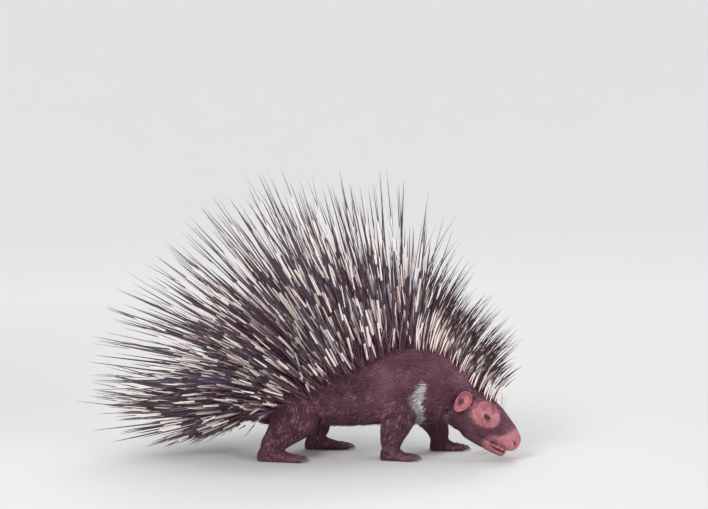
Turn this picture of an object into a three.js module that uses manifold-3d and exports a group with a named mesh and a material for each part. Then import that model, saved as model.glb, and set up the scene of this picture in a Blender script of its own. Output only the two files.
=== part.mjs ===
// A crested porcupine, life size, walking with its head low and every quill raised.
// Millimetres. +X is the way it faces, +Y its left side, +Z up. The soles stand on Z = 0.
// The body is a few lofted forms, parted by thin cuts where a person would name its parts.
// Quills, crest bristles and the flat bristle locks of the flanks are set in loops on the surface
// they grow from, in seeded places that stay clear of one another, and are fused with it.
import * as THREE from "three";
import { mergeVertices } from "three/addons/utils/BufferGeometryUtils.js";
import Module from "manifold-3d";

const wasm = await Module();
wasm.setup();

const radians = THREE.MathUtils.degToRad;

// Driving sizes
const GAP = 0.3; // left between two nodes that touch
const FULLNESS = 0.92; // under 1 makes a section fuller than an ellipse
const NOSE = new THREE.Vector3(304, -84, 31); // tip of the muzzle
const HEAD_DOWN = radians(34); // how far the head points down
const HEAD_ASIDE = radians(27); // and how far it turns to its right
const NECK_CUT = 172; // where the head ends, behind the tip of the muzzle

// The cut behind each length of the trunk: its x at the height of the trunk's middle, and its lean, which
// is that of the quills beside it, so that no root crosses it. The rump is the rest
const CUT_HEIGHT = 172;
const CUTS = {
  neck: { x: 112, lean: radians(77) },
  shoulders: { x: 14, lean: radians(99) },
  torso: { x: -116, lean: radians(123) },
};
const SIDES = { left: 1, right: -1 };

// Sections of the trunk from the rump to the neck: the middle, half the width, and the reach up and down
const TRUNK = [
  { x: -322, y: 0, z: 128, wide: 8, up: 8, down: 8 },
  { x: -311, y: 0, z: 130, wide: 40, up: 42, down: 36 },
  { x: -280, y: 0, z: 137, wide: 71, up: 73, down: 60 },
  { x: -225, y: 0, z: 151, wide: 95, up: 95, down: 76 },
  { x: -150, y: 0, z: 165, wide: 109, up: 108, down: 88 },
  { x: -65, y: 0, z: 172, wide: 113, up: 110, down: 94 },
  { x: 20, y: 0, z: 173, wide: 105, up: 106, down: 92 },
  { x: 90, y: 0, z: 165, wide: 88, up: 92, down: 84 },
  { x: 140, y: -3, z: 151, wide: 71, up: 76, down: 74 },
  { x: 176, y: -15, z: 133, wide: 60, up: 64, down: 61 },
  { x: 204, y: -31, z: 113, wide: 50, up: 51, down: 50 },
];

// Sections of the skull by their distance behind the tip of the muzzle: blunt, with a high arched nose
const HEAD = [
  { back: 0, wide: 12, up: 13, down: 7 },
  { back: 3, wide: 20, up: 22, down: 12 },
  { back: 12, wide: 26, up: 31, down: 16 },
  { back: 32, wide: 30, up: 40, down: 19 },
  { back: 64, wide: 35, up: 49, down: 30 },
  { back: 98, wide: 44, up: 55, down: 41 },
  { back: 136, wide: 52, up: 56, down: 49 },
  { back: 172, wide: 55, up: 53, down: 53 },
  { back: 206, wide: 50, up: 45, down: 50 },
];

// Sections of the lower jaw, which is narrower and ends behind the nose
const JAW = [
  { back: 15, above: -29, wide: 7, tall: 5 },
  { back: 20, above: -30, wide: 16, tall: 10 },
  { back: 38, above: -31, wide: 24, tall: 14 },
  { back: 68, above: -30, wide: 33, tall: 20 },
  { back: 104, above: -26, wide: 42, tall: 28 },
  { back: 130, above: -20, wide: 40, tall: 28 },
];

// Soft swellings of the skull on both sides: where they are highest, how far they reach and how high
const SWELLINGS = [
  { back: 24, round: radians(102), long: 17, wide: radians(34), high: 7 }, // whisker pads
  { back: 110, round: radians(112), long: 32, wide: radians(30), high: 9 }, // cheeks
  { back: 82, round: radians(46), long: 20, wide: radians(17), high: 5 }, // brows
  { back: 62, round: radians(80), long: 18, wide: radians(34), high: -2.5 }, // hollow before the cheek
];

// Legs: from inside the trunk down to the ankle, then a flat-soled foot with toes and claws
const LEGS = {
  foreleg_right: {
    rows: [
      { x: 44, y: -56, z: 130, r: 44 },
      { x: 30, y: -66, z: 88, r: 39 },
      { x: 18, y: -68, z: 52, r: 30 },
      { x: 15, y: -68, z: 22, r: 22 },
    ],
    foot: { heel: -8, y: -68, length: 60, wide: 24, tall: 30, toes: 4, turn: radians(-6) },
    ankle: 36,
  },
  foreleg_left: {
    rows: [
      { x: 74, y: 54, z: 128, r: 44 },
      { x: 106, y: 60, z: 88, r: 37 },
      { x: 128, y: 62, z: 52, r: 29 },
      { x: 133, y: 62, z: 22, r: 22 },
    ],
    foot: { heel: 112, y: 62, length: 60, wide: 24, tall: 30, toes: 4, turn: radians(6) },
    ankle: 36,
  },
  hindleg_right: {
    rows: [
      { x: -214, y: -30, z: 158, r: 52 },
      { x: -212, y: -60, z: 130, r: 60 },
      { x: -208, y: -73, z: 98, r: 55 },
      { x: -236, y: -79, z: 64, r: 39 },
      { x: -260, y: -80, z: 38, r: 28 },
      { x: -268, y: -80, z: 20, r: 22 },
    ],
    foot: { heel: -293, y: -80, length: 84, wide: 24, tall: 30, toes: 5, turn: radians(-8) },
    ankle: 38,
  },
  hindleg_left: {
    rows: [
      { x: -208, y: 30, z: 158, r: 52 },
      { x: -196, y: 60, z: 130, r: 60 },
      { x: -176, y: 73, z: 98, r: 55 },
      { x: -160, y: 79, z: 64, r: 38 },
      { x: -160, y: 80, z: 38, r: 28 },
      { x: -163, y: 80, z: 20, r: 22 },
    ],
    foot: { heel: -186, y: 80, length: 84, wide: 24, tall: 30, toes: 5, turn: radians(8) },
    ankle: 38,
  },
};

// A foot's sections by their share of its length, as shares of its width and height
const FOOT = [
  { at: 0, wide: 0.42, tall: 0.6 },
  { at: 0.1, wide: 0.7, tall: 0.95 },
  { at: 0.35, wide: 0.86, tall: 1.05 },
  { at: 0.72, wide: 1, tall: 0.78 },
  { at: 1, wide: 0.88, tall: 0.5 },
];
const TOE = { long: 22, r: 7.2 };
const CLAW = { long: 15, r: 3.2 };

const TAIL = [
  { x: -296, y: 0, z: 124, r: 36 },
  { x: -340, y: 0, z: 108, r: 27 },
  { x: -380, y: 0, z: 94, r: 19 },
  { x: -412, y: 0, z: 82, r: 9 },
];

const EYE = { back: 87, round: radians(60), radius: 7.5, sunk: 4.4, openLong: 6.8, openHigh: 3.8, lid: 2.2 };
const EAR = { back: 148, round: radians(75), wide: 20, high: 26, deep: 11, thick: 2.6, out: 12, lift: 12 };

// The mouth: its gap at the front and at its corners, and the course of each lip from corner to middle
const MOUTH = { corner: 56, upper: -14, lower: -29, cornerAbove: -22, lip: 3.2 };
const UPPER_LIP = [
  { back: 51, left: 33, above: -20 },
  { back: 34, left: 32, above: -16 },
  { back: 17, left: 24, above: -13 },
  { back: 8, left: 0, above: -9 },
];
const LOWER_LIP = [
  { back: 51, left: 29, above: -25 },
  { back: 36, left: 25, above: -29 },
  { back: 23, left: 16, above: -31 },
  { back: 17, left: 0, above: -31.5 },
];

// The coat of quills by x of the root. lean is the angle from straight ahead, long the longest quill,
// round how far they grow round the back from its middle line, and apart the least room between roots
const COAT = [
  { x: -318, lean: 183, long: 400, round: 128, apart: 13 },
  { x: -290, lean: 166, long: 402, round: 118, apart: 15 },
  { x: -230, lean: 145, long: 415, round: 100, apart: 16 },
  { x: -170, lean: 129, long: 436, round: 90, apart: 16 },
  { x: -110, lean: 117, long: 446, round: 80, apart: 15 },
  { x: -50, lean: 108, long: 420, round: 68, apart: 14 },
  { x: 0, lean: 101, long: 410, round: 54, apart: 13 },
  { x: 50, lean: 92, long: 400, round: 36, apart: 12 },
  { x: 90, lean: 80, long: 270, round: 25, apart: 9.5 },
  { x: 140, lean: 70, long: 185, round: 19, apart: 9 },
  { x: 220, lean: 60, long: 155, round: 16, apart: 8.5 },
];

// The crest's first bristles, on the head behind this distance from the nose
const CREST = { from: 104, round: radians(20), lean: radians(62), short: 105, long: 165, apart: 7.5 };
const ASIDE = 0.6; // of the angle round the back, that quills lean to the side
const SHORTEST = 0.55; // stout quill, as a share of the longest
const THIN_SHORTEST = 0.72; // and thin one
const SHORT_AT_EDGE = 0.3; // of the length that is lost at the coat's lower edge
const CREST_FROM = 100; // x before which quills are thin, bent crest bristles
const STRAY = radians(5); // how far a quill may stray from its neighbours' direction
const TRIES = 10; // strays of one quill until it is clear
const SPARE = 0.5; // kept free between two quills
const FLOOR_ROOM = 11; // kept free under a quill's tip

// One quill's sizes: radius at its widest, its place, how deep it is rooted and how far its tip bends
const STOUT = { r: 3.1, widest: 0.2, sunk: 22, bend: 0 };
const LONG = { r: 2.3, widest: 0.18, sunk: 22, bend: 0.05 };
const BRISTLE = { r: 1.5, widest: 0.16, sunk: 14, bend: 0.16 };

// The tail's quills: the way they point, how far they spread from it, and how much of their length is
// lost by those that point down
const TAIL_WAY = new THREE.Vector3(-1, 0, -0.12);
const TAIL_QUILL = { ...STOUT, r: 2.8, sunk: 16, long: 330, shorter: 420, spread: 0.6, apart: 10.5 };

// A flat lock of bristles: it leaves the skin at a low angle and lies over the next one's root
const LOCK = { long: 68, wide: 25, thick: 3.2, apart: 31, rise: [2.6, 4.6, 3.8], sunk: 7 };

// Seeded draws from 0 to 1, the same on every build
function draws(seed) {
  let state = seed;
  return () => {
    state = (state + 0x6d2b79f5) | 0;
    let t = Math.imul(state ^ (state >>> 15), 1 | state);
    t = (t + Math.imul(t ^ (t >>> 7), 61 | t)) ^ t;
    return ((t ^ (t >>> 14)) >>> 0) / 4294967296;
  };
}

// Catmull-Rom value of one key between rows; place runs from 0 at the first row to rows.length - 1
function between(rows, key, place) {
  const i = Math.max(0, Math.min(Math.floor(place), rows.length - 2));
  const t = place - i;
  const value = (n) => rows[Math.min(Math.max(n, 0), rows.length - 1)][key];
  const [a, b, c, d] = [value(i - 1), value(i), value(i + 1), value(i + 2)];
  return b + 0.5 * t * (c - a + t * (2 * a - 5 * b + 4 * c - d + t * (3 * (b - c) + d - a)));
}

// Value of one key of rows sorted by x, straight between them
function along(rows, key, x) {
  const after = rows.findIndex((row) => row.x > x);
  const i = after < 0 ? rows.length - 1 : Math.max(1, after);
  const t = Math.min(Math.max((x - rows[i - 1].x) / (rows[i].x - rows[i - 1].x), 0), 1);
  return rows[i - 1][key] + t * (rows[i][key] - rows[i - 1][key]);
}

const rounded = (value) => Math.sign(value) * Math.abs(value) ** FULLNESS;

// A point of a section: angle 0 is its top, and a quarter turn its left side
function onSection(centre, left, above, row, angle, grow) {
  const reach = (Math.cos(angle) > 0 ? row.up : row.down) + grow;
  return centre
    .clone()
    .addScaledVector(left, (row.wide + grow) * rounded(Math.sin(angle)))
    .addScaledVector(above, reach * rounded(Math.cos(angle)));
}

const UP = new THREE.Vector3(0, 0, 1);
const FORWARD = new THREE.Vector3(1, 0, 0);
const LEFTWARD = new THREE.Vector3(0, 1, 0);

function middleOf(rows, place) {
  return new THREE.Vector3(...["x", "y", "z"].map((key) => between(rows, key, place)));
}

// The way rows run on at a place
function headingOf(rows, place) {
  const step = 0.05;
  const last = rows.length - 1;
  const from = middleOf(rows, Math.max(place - step, 0));
  return middleOf(rows, Math.min(place + step, last)).sub(from).normalize();
}

function trunkPoint(place, angle, grow = 0) {
  const ahead = headingOf(TRUNK, place);
  const left = UP.clone().cross(ahead).normalize();
  const above = ahead.clone().cross(left);
  const row = {};
  for (const key of ["wide", "up", "down"]) row[key] = between(TRUNK, key, place);
  return onSection(middleOf(TRUNK, place), left, above, row, angle, grow);
}

// The head's own directions: ahead to the nose, left, and above
const AHEAD = new THREE.Vector3(
  Math.cos(HEAD_DOWN) * Math.cos(HEAD_ASIDE),
  -Math.cos(HEAD_DOWN) * Math.sin(HEAD_ASIDE),
  -Math.sin(HEAD_DOWN),
);
const LEFT = new THREE.Vector3(Math.sin(HEAD_ASIDE), Math.cos(HEAD_ASIDE), 0);
const ABOVE = AHEAD.clone().cross(LEFT);

// A place in the head: back from the nose, to the left and above its middle line
function inHead(back, left, above) {
  return NOSE.clone()
    .addScaledVector(AHEAD, -back)
    .addScaledVector(LEFT, left)
    .addScaledVector(ABOVE, above);
}

// How far the head swells out at a distance behind the nose and an angle round it
function swell(back, angle) {
  const round = Math.abs(Math.atan2(Math.sin(angle), Math.cos(angle)));
  return SWELLINGS.reduce((sum, at) => {
    const away = ((back - at.back) / at.long) ** 2 + ((round - at.round) / at.wide) ** 2;
    return sum + at.high * Math.exp(-away);
  }, 0);
}

function headPoint(place, angle, grow = 0) {
  const row = {};
  for (const key of ["back", "wide", "up", "down"]) row[key] = between(HEAD, key, place);
  return onSection(inHead(row.back, 0, 0), LEFT, ABOVE, row, angle, grow + swell(row.back, angle));
}

// Where on the head's rows a distance behind the nose lies
function headPlace(back) {
  let [low, high] = [0, HEAD.length - 1];
  for (let n = 0; n < 30; n++) {
    const middle = (low + high) / 2;
    if (between(HEAD, "back", middle) < back) low = middle;
    else high = middle;
  }
  return low;
}

// A point of a round limb through rows with x, y, z and r, no lower than the floor.
// The way called level lies across the limb's bends.
function limbPoint(rows, level, place, angle, grow = 0) {
  const ahead = headingOf(rows, place);
  const side = level.clone().cross(ahead).normalize();
  const other = ahead.cross(side);
  const r = between(rows, "r", place) + grow;
  const point = middleOf(rows, place)
    .addScaledVector(side, r * Math.cos(angle))
    .addScaledVector(other, r * Math.sin(angle));
  point.z = Math.max(point.z, 0);
  return point;
}

// The way out of a surface whose points at(place, angle, grow) gives
function outward(at, place, angle) {
  const step = 0.02;
  const forwards = at(place + step, angle).sub(at(place - step, angle));
  const round = at(place, angle + step).sub(at(place, angle - step));
  const normal = forwards.cross(round).normalize();
  const grown = at(place, angle, 1).sub(at(place, angle));
  return normal.dot(grown) > 0 ? normal : normal.negate();
}

// A mesh geometry from points and triangles
function geometryOf(points, triangles) {
  const geometry = new THREE.BufferGeometry().setFromPoints(points);
  geometry.setIndex(triangles.flat());
  return geometry;
}

// The solid of a closed geometry, its faces turned out
function solidOf(geometry) {
  const plain = geometry.index ? geometry.toNonIndexed() : geometry.clone();
  plain.deleteAttribute("normal");
  plain.deleteAttribute("uv");
  const merged = mergeVertices(plain, 1e-4);
  const vertProperties = merged.attributes.position.array;
  const make = (triVerts) => new wasm.Manifold(new wasm.Mesh({ numProp: 3, vertProperties, triVerts }));
  const made = make(new Uint32Array(merged.index.array));
  if (made.volume() > 0) return made;
  return make(new Uint32Array(merged.index.array).reverse());
}

// A closed form through rings of points, with a fan at each end: at(share, angle) with share from 0 to 1
function loft(rings, sides, at) {
  const points = [];
  for (let i = 0; i <= rings; i++)
    for (let j = 0; j < sides; j++) points.push(at(i / rings, (2 * Math.PI * j) / sides));
  const triangles = [];
  for (let i = 0; i < rings; i++)
    for (let j = 0; j < sides; j++) {
      const [a, b] = [i * sides + j, i * sides + ((j + 1) % sides)];
      triangles.push([a, b, b + sides], [a, b + sides, a + sides]);
    }
  for (const first of [0, rings * sides]) {
    const centre = new THREE.Vector3();
    for (let j = 0; j < sides; j++) centre.addScaledVector(points[first + j], 1 / sides);
    points.push(centre);
    for (let j = 0; j < sides; j++) {
      const [a, b] = [first + j, first + ((j + 1) % sides)];
      triangles.push(first ? [a, b, points.length - 1] : [b, a, points.length - 1]);
    }
  }
  return solidOf(geometryOf(points, triangles));
}

function limb(rows, rings, sides, level = LEFTWARD) {
  return loft(rings, sides, (share, angle) => limbPoint(rows, level, share * (rows.length - 1), angle));
}

// A closed spike: a point at the root, rings of three points, and a point at the tip
function spike(root, rings, tip) {
  const points = [root, ...rings.flat(), tip];
  const last = points.length - 1;
  const triangles = [];
  for (let j = 0; j < 3; j++) {
    const k = (j + 1) % 3;
    triangles.push([0, 1 + k, 1 + j], [last, last - 3 + j, last - 3 + k]);
    for (let first = 1; first + 3 < last; first += 3) {
      const [a, b] = [first + j, first + k];
      triangles.push([a, b, b + 3], [a, b + 3, a + 3]);
    }
  }
  return solidOf(geometryOf(points, triangles));
}

const largest = (solid) =>
  solid.decompose().reduce((best, piece) => (piece.volume() > best.volume() ? piece : best));

// Everything behind a plane, as a big box: normal points out of it
function halfSpace(point, normal) {
  const size = 2000;
  const box = new THREE.BoxGeometry(size, size, size).translate(0, 0, -size / 2);
  box.applyQuaternion(new THREE.Quaternion().setFromUnitVectors(UP, normal));
  return solidOf(box.translate(point.x, point.y, point.z));
}

// Parts a solid by a plane: what lies behind it and what lies before it, half a gap each
function part(solid, point, normal) {
  const behind = halfSpace(point.clone().addScaledVector(normal, -GAP / 2), normal);
  const before = halfSpace(point.clone().addScaledVector(normal, GAP / 2), normal.clone().negate());
  return [solid.intersect(behind), solid.intersect(before)];
}

// Eyes: a ball in a socket, under lids with an almond opening
function eyeAt(side) {
  const place = headPlace(EYE.back);
  const out = outward(headPoint, place, side * EYE.round);
  return { centre: headPoint(place, side * EYE.round).addScaledVector(out, -EYE.sunk), out };
}

function ball(centre, radius, around, high) {
  return solidOf(new THREE.SphereGeometry(radius, around, high).translate(centre.x, centre.y, centre.z));
}

// The almond between the lids, cut through them along the eye's own axis
function lidOpening({ centre, out }) {
  const shape = new THREE.Shape().moveTo(-EYE.openLong, 0);
  shape.quadraticCurveTo(0, 2 * EYE.openHigh, EYE.openLong, 0);
  shape.quadraticCurveTo(0, -2 * EYE.openHigh, -EYE.openLong, 0);
  const long = AHEAD.clone().addScaledVector(out, -AHEAD.dot(out)).normalize();
  const prism = new THREE.ExtrudeGeometry(shape, { depth: 30, bevelEnabled: false, curveSegments: 4 });
  prism.applyMatrix4(new THREE.Matrix4().makeBasis(long, out.clone().cross(long), out));
  return solidOf(prism.translate(centre.x, centre.y, centre.z));
}

// A row of a path in the head's own directions
const headRow = (back, left, above, r) => ({ ...inHead(back, left, above), r });

// Each nostril is a slit that curls round the blunt end of the muzzle
function nostril(side) {
  const path = [
    headRow(10, side * 18, 14, 1.8),
    headRow(2.5, side * 12, 9, 3),
    headRow(-0.5, side * 5, 4, 2),
  ];
  return limb(path, 4, 5, ABOVE);
}

// The groove from between the nostrils to the mouth
function lipCleft() {
  const path = [headRow(-0.5, 0, 3, 1.3), headRow(2.5, 0, -7, 2), headRow(8, 0, -15, 1.8)];
  return limb(path, 3, 5, LEFT);
}

function jaw() {
  return loft(8, 12, (share, angle) => {
    const value = (key) => between(JAW, key, share * (JAW.length - 1));
    const [left, high] = [value("wide") * Math.sin(angle), value("tall") * Math.cos(angle)];
    return inHead(value("back"), left, value("above") + high);
  });
}

// The gap between the lips: a wedge right across the muzzle that closes at the corners of the mouth
function mouthGap() {
  const wedge = new THREE.Shape([
    new THREE.Vector2(-20, MOUTH.upper + 1),
    new THREE.Vector2(-20, MOUTH.lower - 1),
    new THREE.Vector2(MOUTH.corner, MOUTH.cornerAbove - 0.4),
    new THREE.Vector2(MOUTH.corner, MOUTH.cornerAbove + 0.4),
  ]);
  const across = 160;
  const prism = new THREE.ExtrudeGeometry(wedge, { depth: across, bevelEnabled: false });
  prism.translate(0, 0, -across / 2);
  prism.applyMatrix4(new THREE.Matrix4().makeBasis(AHEAD.clone().negate(), ABOVE, LEFT));
  return solidOf(prism.translate(NOSE.x, NOSE.y, NOSE.z));
}

// A lip is a roll along the mouth, from one corner round the front to the other
function lip(course) {
  const row = ({ back, left, above }, side) => headRow(back, side * left, above, MOUTH.lip);
  const left = course.map((point) => row(point, SIDES.left));
  const right = course.slice(0, -1).map((point) => row(point, SIDES.right)).reverse();
  return limb([...left, ...right], 12, 5, ABOVE);
}

// Two incisors side by side, each a bent chisel
function incisors(back, root, tip, bend) {
  const one = (side) => {
    const rows = [
      headRow(back + bend, side * 3.3, root, 3.1),
      headRow(back, side * 3.2, (root + tip) / 2, 3.2),
      headRow(back + bend / 3, side * 3, tip, 2),
    ];
    return limb(rows, 2, 5, LEFT);
  };
  return one(SIDES.left).add(one(SIDES.right));
}

function headFlesh() {
  let solid = loft(18, 18, (share, angle) => headPoint(share * (HEAD.length - 1), angle)).add(jaw());
  solid = solid.subtract(mouthGap()).add(lip(UPPER_LIP)).add(lip(LOWER_LIP));
  for (const side of Object.values(SIDES)) {
    const eye = eyeAt(side);
    solid = solid.add(ball(eye.centre, EYE.radius + GAP + EYE.lid, 11, 7));
    solid = solid.subtract(ball(eye.centre, EYE.radius + GAP, 10, 7)).subtract(lidOpening(eye));
    solid = solid.subtract(nostril(side));
  }
  solid = solid.subtract(lipCleft());
  return solid.add(incisors(13, -6, -23, 4)).add(incisors(23, -38, -21, 4));
}

// Where an ear stands: its base on the head, its middle, the way its cup faces, and its height and width
function earFrame(side) {
  const place = headPlace(EAR.back);
  const out = outward(headPoint, place, side * EAR.round);
  const base = headPoint(place, side * EAR.round);
  const facing = out.clone().multiplyScalar(0.72).addScaledVector(AHEAD, 0.69).normalize();
  const high = ABOVE.clone().addScaledVector(facing, -ABOVE.dot(facing)).normalize();
  const wide = high.clone().cross(facing);
  const centre = base.clone().addScaledVector(out, EAR.out).addScaledVector(high, EAR.lift);
  return { base, out, centre, facing, high, wide };
}

// An ear is a cup on a short root, open ahead and outwards
function ear(side) {
  const { base, out, centre, facing, high, wide } = earFrame(side);
  const cup = loft(6, 12, (share, angle) => {
    const radial = share < 0.5 ? 2 * share : 2 * (1 - share);
    const behind = share <= 0.5 ? 0 : EAR.thick;
    const bowl = EAR.deep * (1 - radial ** 2);
    return centre
      .clone()
      .addScaledVector(wide, EAR.wide * radial * Math.cos(angle))
      .addScaledVector(high, EAR.high * radial * Math.sin(angle))
      .addScaledVector(facing, -bowl - behind);
  });
  const inside = base.clone().addScaledVector(out, -6);
  const behindCup = centre.clone().addScaledVector(facing, -EAR.deep - 1.4);
  return cup.add(limb([{ ...inside, r: 13 }, { ...behindCup, r: 6.5 }], 2, 8, ABOVE));
}

// A foot alone, its toes and its claws
function foot({ heel, y, length, wide, tall, toes, turn }) {
  const place = (ahead, left, z) => ({
    x: heel + ahead * Math.cos(turn) - left * Math.sin(turn),
    y: y + ahead * Math.sin(turn) + left * Math.cos(turn),
    z,
  });
  let solid = loft(5, 12, (share, angle) => {
    const row = {};
    for (const key of ["at", "wide", "tall"]) row[key] = between(FOOT, key, share * (FOOT.length - 1));
    const high = Math.max(0, 0.42 + 0.58 * Math.cos(angle)) * tall * row.tall;
    const point = place(length * row.at, wide * row.wide * Math.sin(angle), high);
    return new THREE.Vector3(point.x, point.y, point.z);
  });
  for (let n = 0; n < toes; n++) {
    const spread = (2 * n) / (toes - 1) - 1;
    const from = spread * (wide - TOE.r);
    const reach = length + TOE.long * (1 - 0.3 * spread ** 2);
    const toe = [
      { ...place(length - 12, from, TOE.r - 1), r: TOE.r },
      { ...place(length + 6, from * 1.15, TOE.r), r: TOE.r },
      { ...place(reach, from * 1.35, TOE.r - 2), r: TOE.r * 0.62 },
    ];
    const claw = [
      { ...place(reach - 5, from * 1.35, TOE.r - 1), r: CLAW.r },
      { ...place(reach + CLAW.long / 2, from * 1.4, TOE.r - 0.5), r: CLAW.r * 0.8 },
      { ...place(reach + CLAW.long, from * 1.45, 2), r: 0.7 },
    ];
    solid = solid.add(limb(toe, 2, 6)).add(limb(claw, 2, 4));
  }
  return solid;
}

// The way a trunk's quill stands: by x of its root, its angle round the back and the head's turn
function standing(x, angle, turned) {
  const lean = radians(along(COAT, "lean", x));
  const aside = angle * ASIDE;
  const inPlane = new THREE.Vector3(Math.cos(lean), 0, Math.sin(lean)).multiplyScalar(Math.cos(aside));
  return inPlane.addScaledVector(LEFTWARD, Math.sin(aside)).applyAxisAngle(UP, -turned * HEAD_ASIDE);
}

// Rods are what a new quill or lock keeps clear of: pieces of line with a radius
const rods = [];

function addRods(points, r, kind) {
  for (let i = 1; i < points.length; i++) {
    rods.push({ line: new THREE.Line3(points[i - 1], points[i]), r, kind });
  }
}

// True where a path of this radius comes near no rod, apart from rods of the kind it may lie over
function isClear(points, r, mayTouch) {
  for (let i = 1; i < points.length; i++) {
    const line = new THREE.Line3(points[i - 1], points[i]);
    for (const rod of rods) {
      if (rod.kind === mayTouch) continue;
      if (line.distanceSqToLine3(rod.line) < (r + rod.r + SPARE) ** 2) return false;
    }
  }
  return true;
}

// A quill from its root on the skin: its path for clearance and, where that is free, its solid
function quill(root, way, long, { r, widest, sunk, bend }, bendWay) {
  const at = (share) =>
    root.clone().addScaledVector(way, long * share).addScaledVector(bendWay, long * bend * share ** 2);
  const shares = bend ? [widest, 0.6] : [widest];
  const path = [at(0), ...(bend ? [at(0.5)] : []), at(1)];
  const side = way.clone().cross(Math.abs(way.z) > 0.9 ? FORWARD : UP).normalize();
  const other = way.clone().cross(side);
  const ring = (share) => {
    const width = share === widest ? r : r * 0.72;
    return [0, 1, 2].map((n) =>
      at(share)
        .addScaledVector(side, width * Math.cos((n * 2 * Math.PI) / 3))
        .addScaledVector(other, width * Math.sin((n * 2 * Math.PI) / 3)),
    );
  };
  const build = () => spike(root.clone().addScaledVector(way, -sunk), shares.map(ring), at(1));
  return { path, r, build };
}

// A direction moved at random by up to the stray angle
function strayed(way, draw) {
  const offset = new THREE.Vector3(draw() - 0.5, draw() - 0.5, draw() - 0.5);
  return way.clone().addScaledVector(offset, 2 * Math.tan(STRAY)).normalize();
}

const grown = new Map(); // what grows on each node, as a list of solids
const grow = (name, solid) => grown.set(name, [...(grown.get(name) ?? []), solid]);
const isTooClose = (root, roots, apart) => roots.some((other) => other.distanceTo(root) < apart);

// Tries a few strays of one quill, and grows the first that is clear on its node. wanted(way) gives it
function growQuill(node, roots, way, draw, wanted) {
  for (let attempt = 0; attempt < TRIES; attempt++) {
    const made = wanted(strayed(way, draw));
    if (!made || !isClear(made.path, made.r, node)) continue;
    roots.push(made.path[0]);
    addRods(made.path, made.r, "quill");
    grow(node, made.build());
    return;
  }
}

// Shortens a quill so that its tip stays above the floor
function aboveFloor(root, way, long) {
  if (way.z >= 0) return long;
  return Math.min(long, (root.z - FLOOR_ROOM) / -way.z);
}

// The cutting planes from the head backwards, each with the node before it
const PLANES = [{ name: "head", point: inHead(NECK_CUT, 0, 0), normal: AHEAD }];
for (const [name, { x, lean }] of Object.entries(CUTS)) {
  const normal = new THREE.Vector3(Math.sin(lean), 0, -Math.cos(lean));
  PLANES.push({ name, point: new THREE.Vector3(x, 0, CUT_HEIGHT), normal });
}

// Which node all these points of the trunk belong to, or none where one is closer to a cut than the margin
function nodeAt(points, margin) {
  const found = new Set();
  for (const away of [-margin, margin])
    for (const point of points) {
      const before = PLANES.find((plane) => point.clone().sub(plane.point).dot(plane.normal) > away);
      found.add(before ? before.name : "rump");
    }
  return found.size === 1 ? [...found][0] : null;
}

// The quills of the back: stout ones, long thin ones among them, and crest bristles on the neck
function growBack(draw) {
  const roots = [];
  for (let n = 0; n < 5200; n++) {
    const place = 0.8 + draw() * 8.7;
    const middleX = trunkPoint(place, 0).x;
    const edge = radians(along(COAT, "round", middleX));
    const angle = edge * (2 * draw() - 1);
    const root = trunkPoint(place, angle);
    if (isTooClose(root, roots, along(COAT, "apart", root.x))) continue;
    const crest = root.x > CREST_FROM;
    const sizes = crest ? BRISTLE : draw() < 0.3 ? LONG : STOUT;
    const turned = Math.min(Math.max((root.x - CREST_FROM) / 100, 0), 1);
    const way = standing(root.x, angle, turned);
    if (way.dot(outward(trunkPoint, place, angle)) < 0.3) continue;
    const ends = [root, root.clone().addScaledVector(way, -sizes.sunk)];
    const node = nodeAt(ends, 4);
    if (!node || node === "head") continue;
    const edgeShare = 1 - SHORT_AT_EDGE * Math.abs(angle / edge);
    const share = 1 - (1 - (sizes === STOUT ? SHORTEST : THIN_SHORTEST)) * draw() ** 1.5;
    const long = along(COAT, "long", root.x) * share * edgeShare;
    const bendWay = crest ? FORWARD : UP.clone().multiplyScalar(draw() < 0.5 ? -1 : 1);
    growQuill(node, roots, way, draw, (strayWay) =>
      quill(root, strayWay, aboveFloor(root, strayWay, long), sizes, bendWay),
    );
  }
}

// The crest's first bristles, on the head between the ears
function growCrest(draw) {
  const roots = [];
  for (let n = 0; n < 400; n++) {
    const share = draw();
    const back = CREST.from + (NECK_CUT - 5 - CREST.from) * share;
    const angle = CREST.round * (2 * draw() - 1);
    const root = headPoint(headPlace(back), angle);
    if (isTooClose(root, roots, CREST.apart)) continue;
    const way = new THREE.Vector3(Math.cos(CREST.lean), Math.sin(angle * ASIDE), Math.sin(CREST.lean));
    way.normalize().applyAxisAngle(UP, -HEAD_ASIDE);
    const long = (CREST.short + (CREST.long - CREST.short) * share) * (0.75 + 0.25 * draw());
    growQuill("head", roots, way, draw, (strayWay) => quill(root, strayWay, long, BRISTLE, AHEAD));
  }
}

// The tail's quills, which close the fan towards the ground
function growTail(draw) {
  const roots = [];
  const at = (place, angle, out) => limbPoint(TAIL, LEFTWARD, place, angle, out);
  for (let n = 0; n < 700; n++) {
    const place = 1.15 + 1.6 * draw();
    const angle = 2 * Math.PI * draw();
    const root = at(place, angle);
    if (isTooClose(root, roots, TAIL_QUILL.apart)) continue;
    const spread = TAIL_QUILL.spread * (0.4 + 0.6 * draw());
    const way = TAIL_WAY.clone().addScaledVector(outward(at, place, angle), spread).normalize();
    const longest = TAIL_QUILL.long - TAIL_QUILL.shorter * Math.max(0, -way.z);
    const wanted = longest * (0.65 + 0.35 * draw());
    growQuill("tail", roots, way, draw, (strayWay) => {
      const long = aboveFloor(root, strayWay, wanted);
      return long < 0.5 * wanted ? null : quill(root, strayWay, long, TAIL_QUILL, UP);
    });
  }
}

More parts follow.
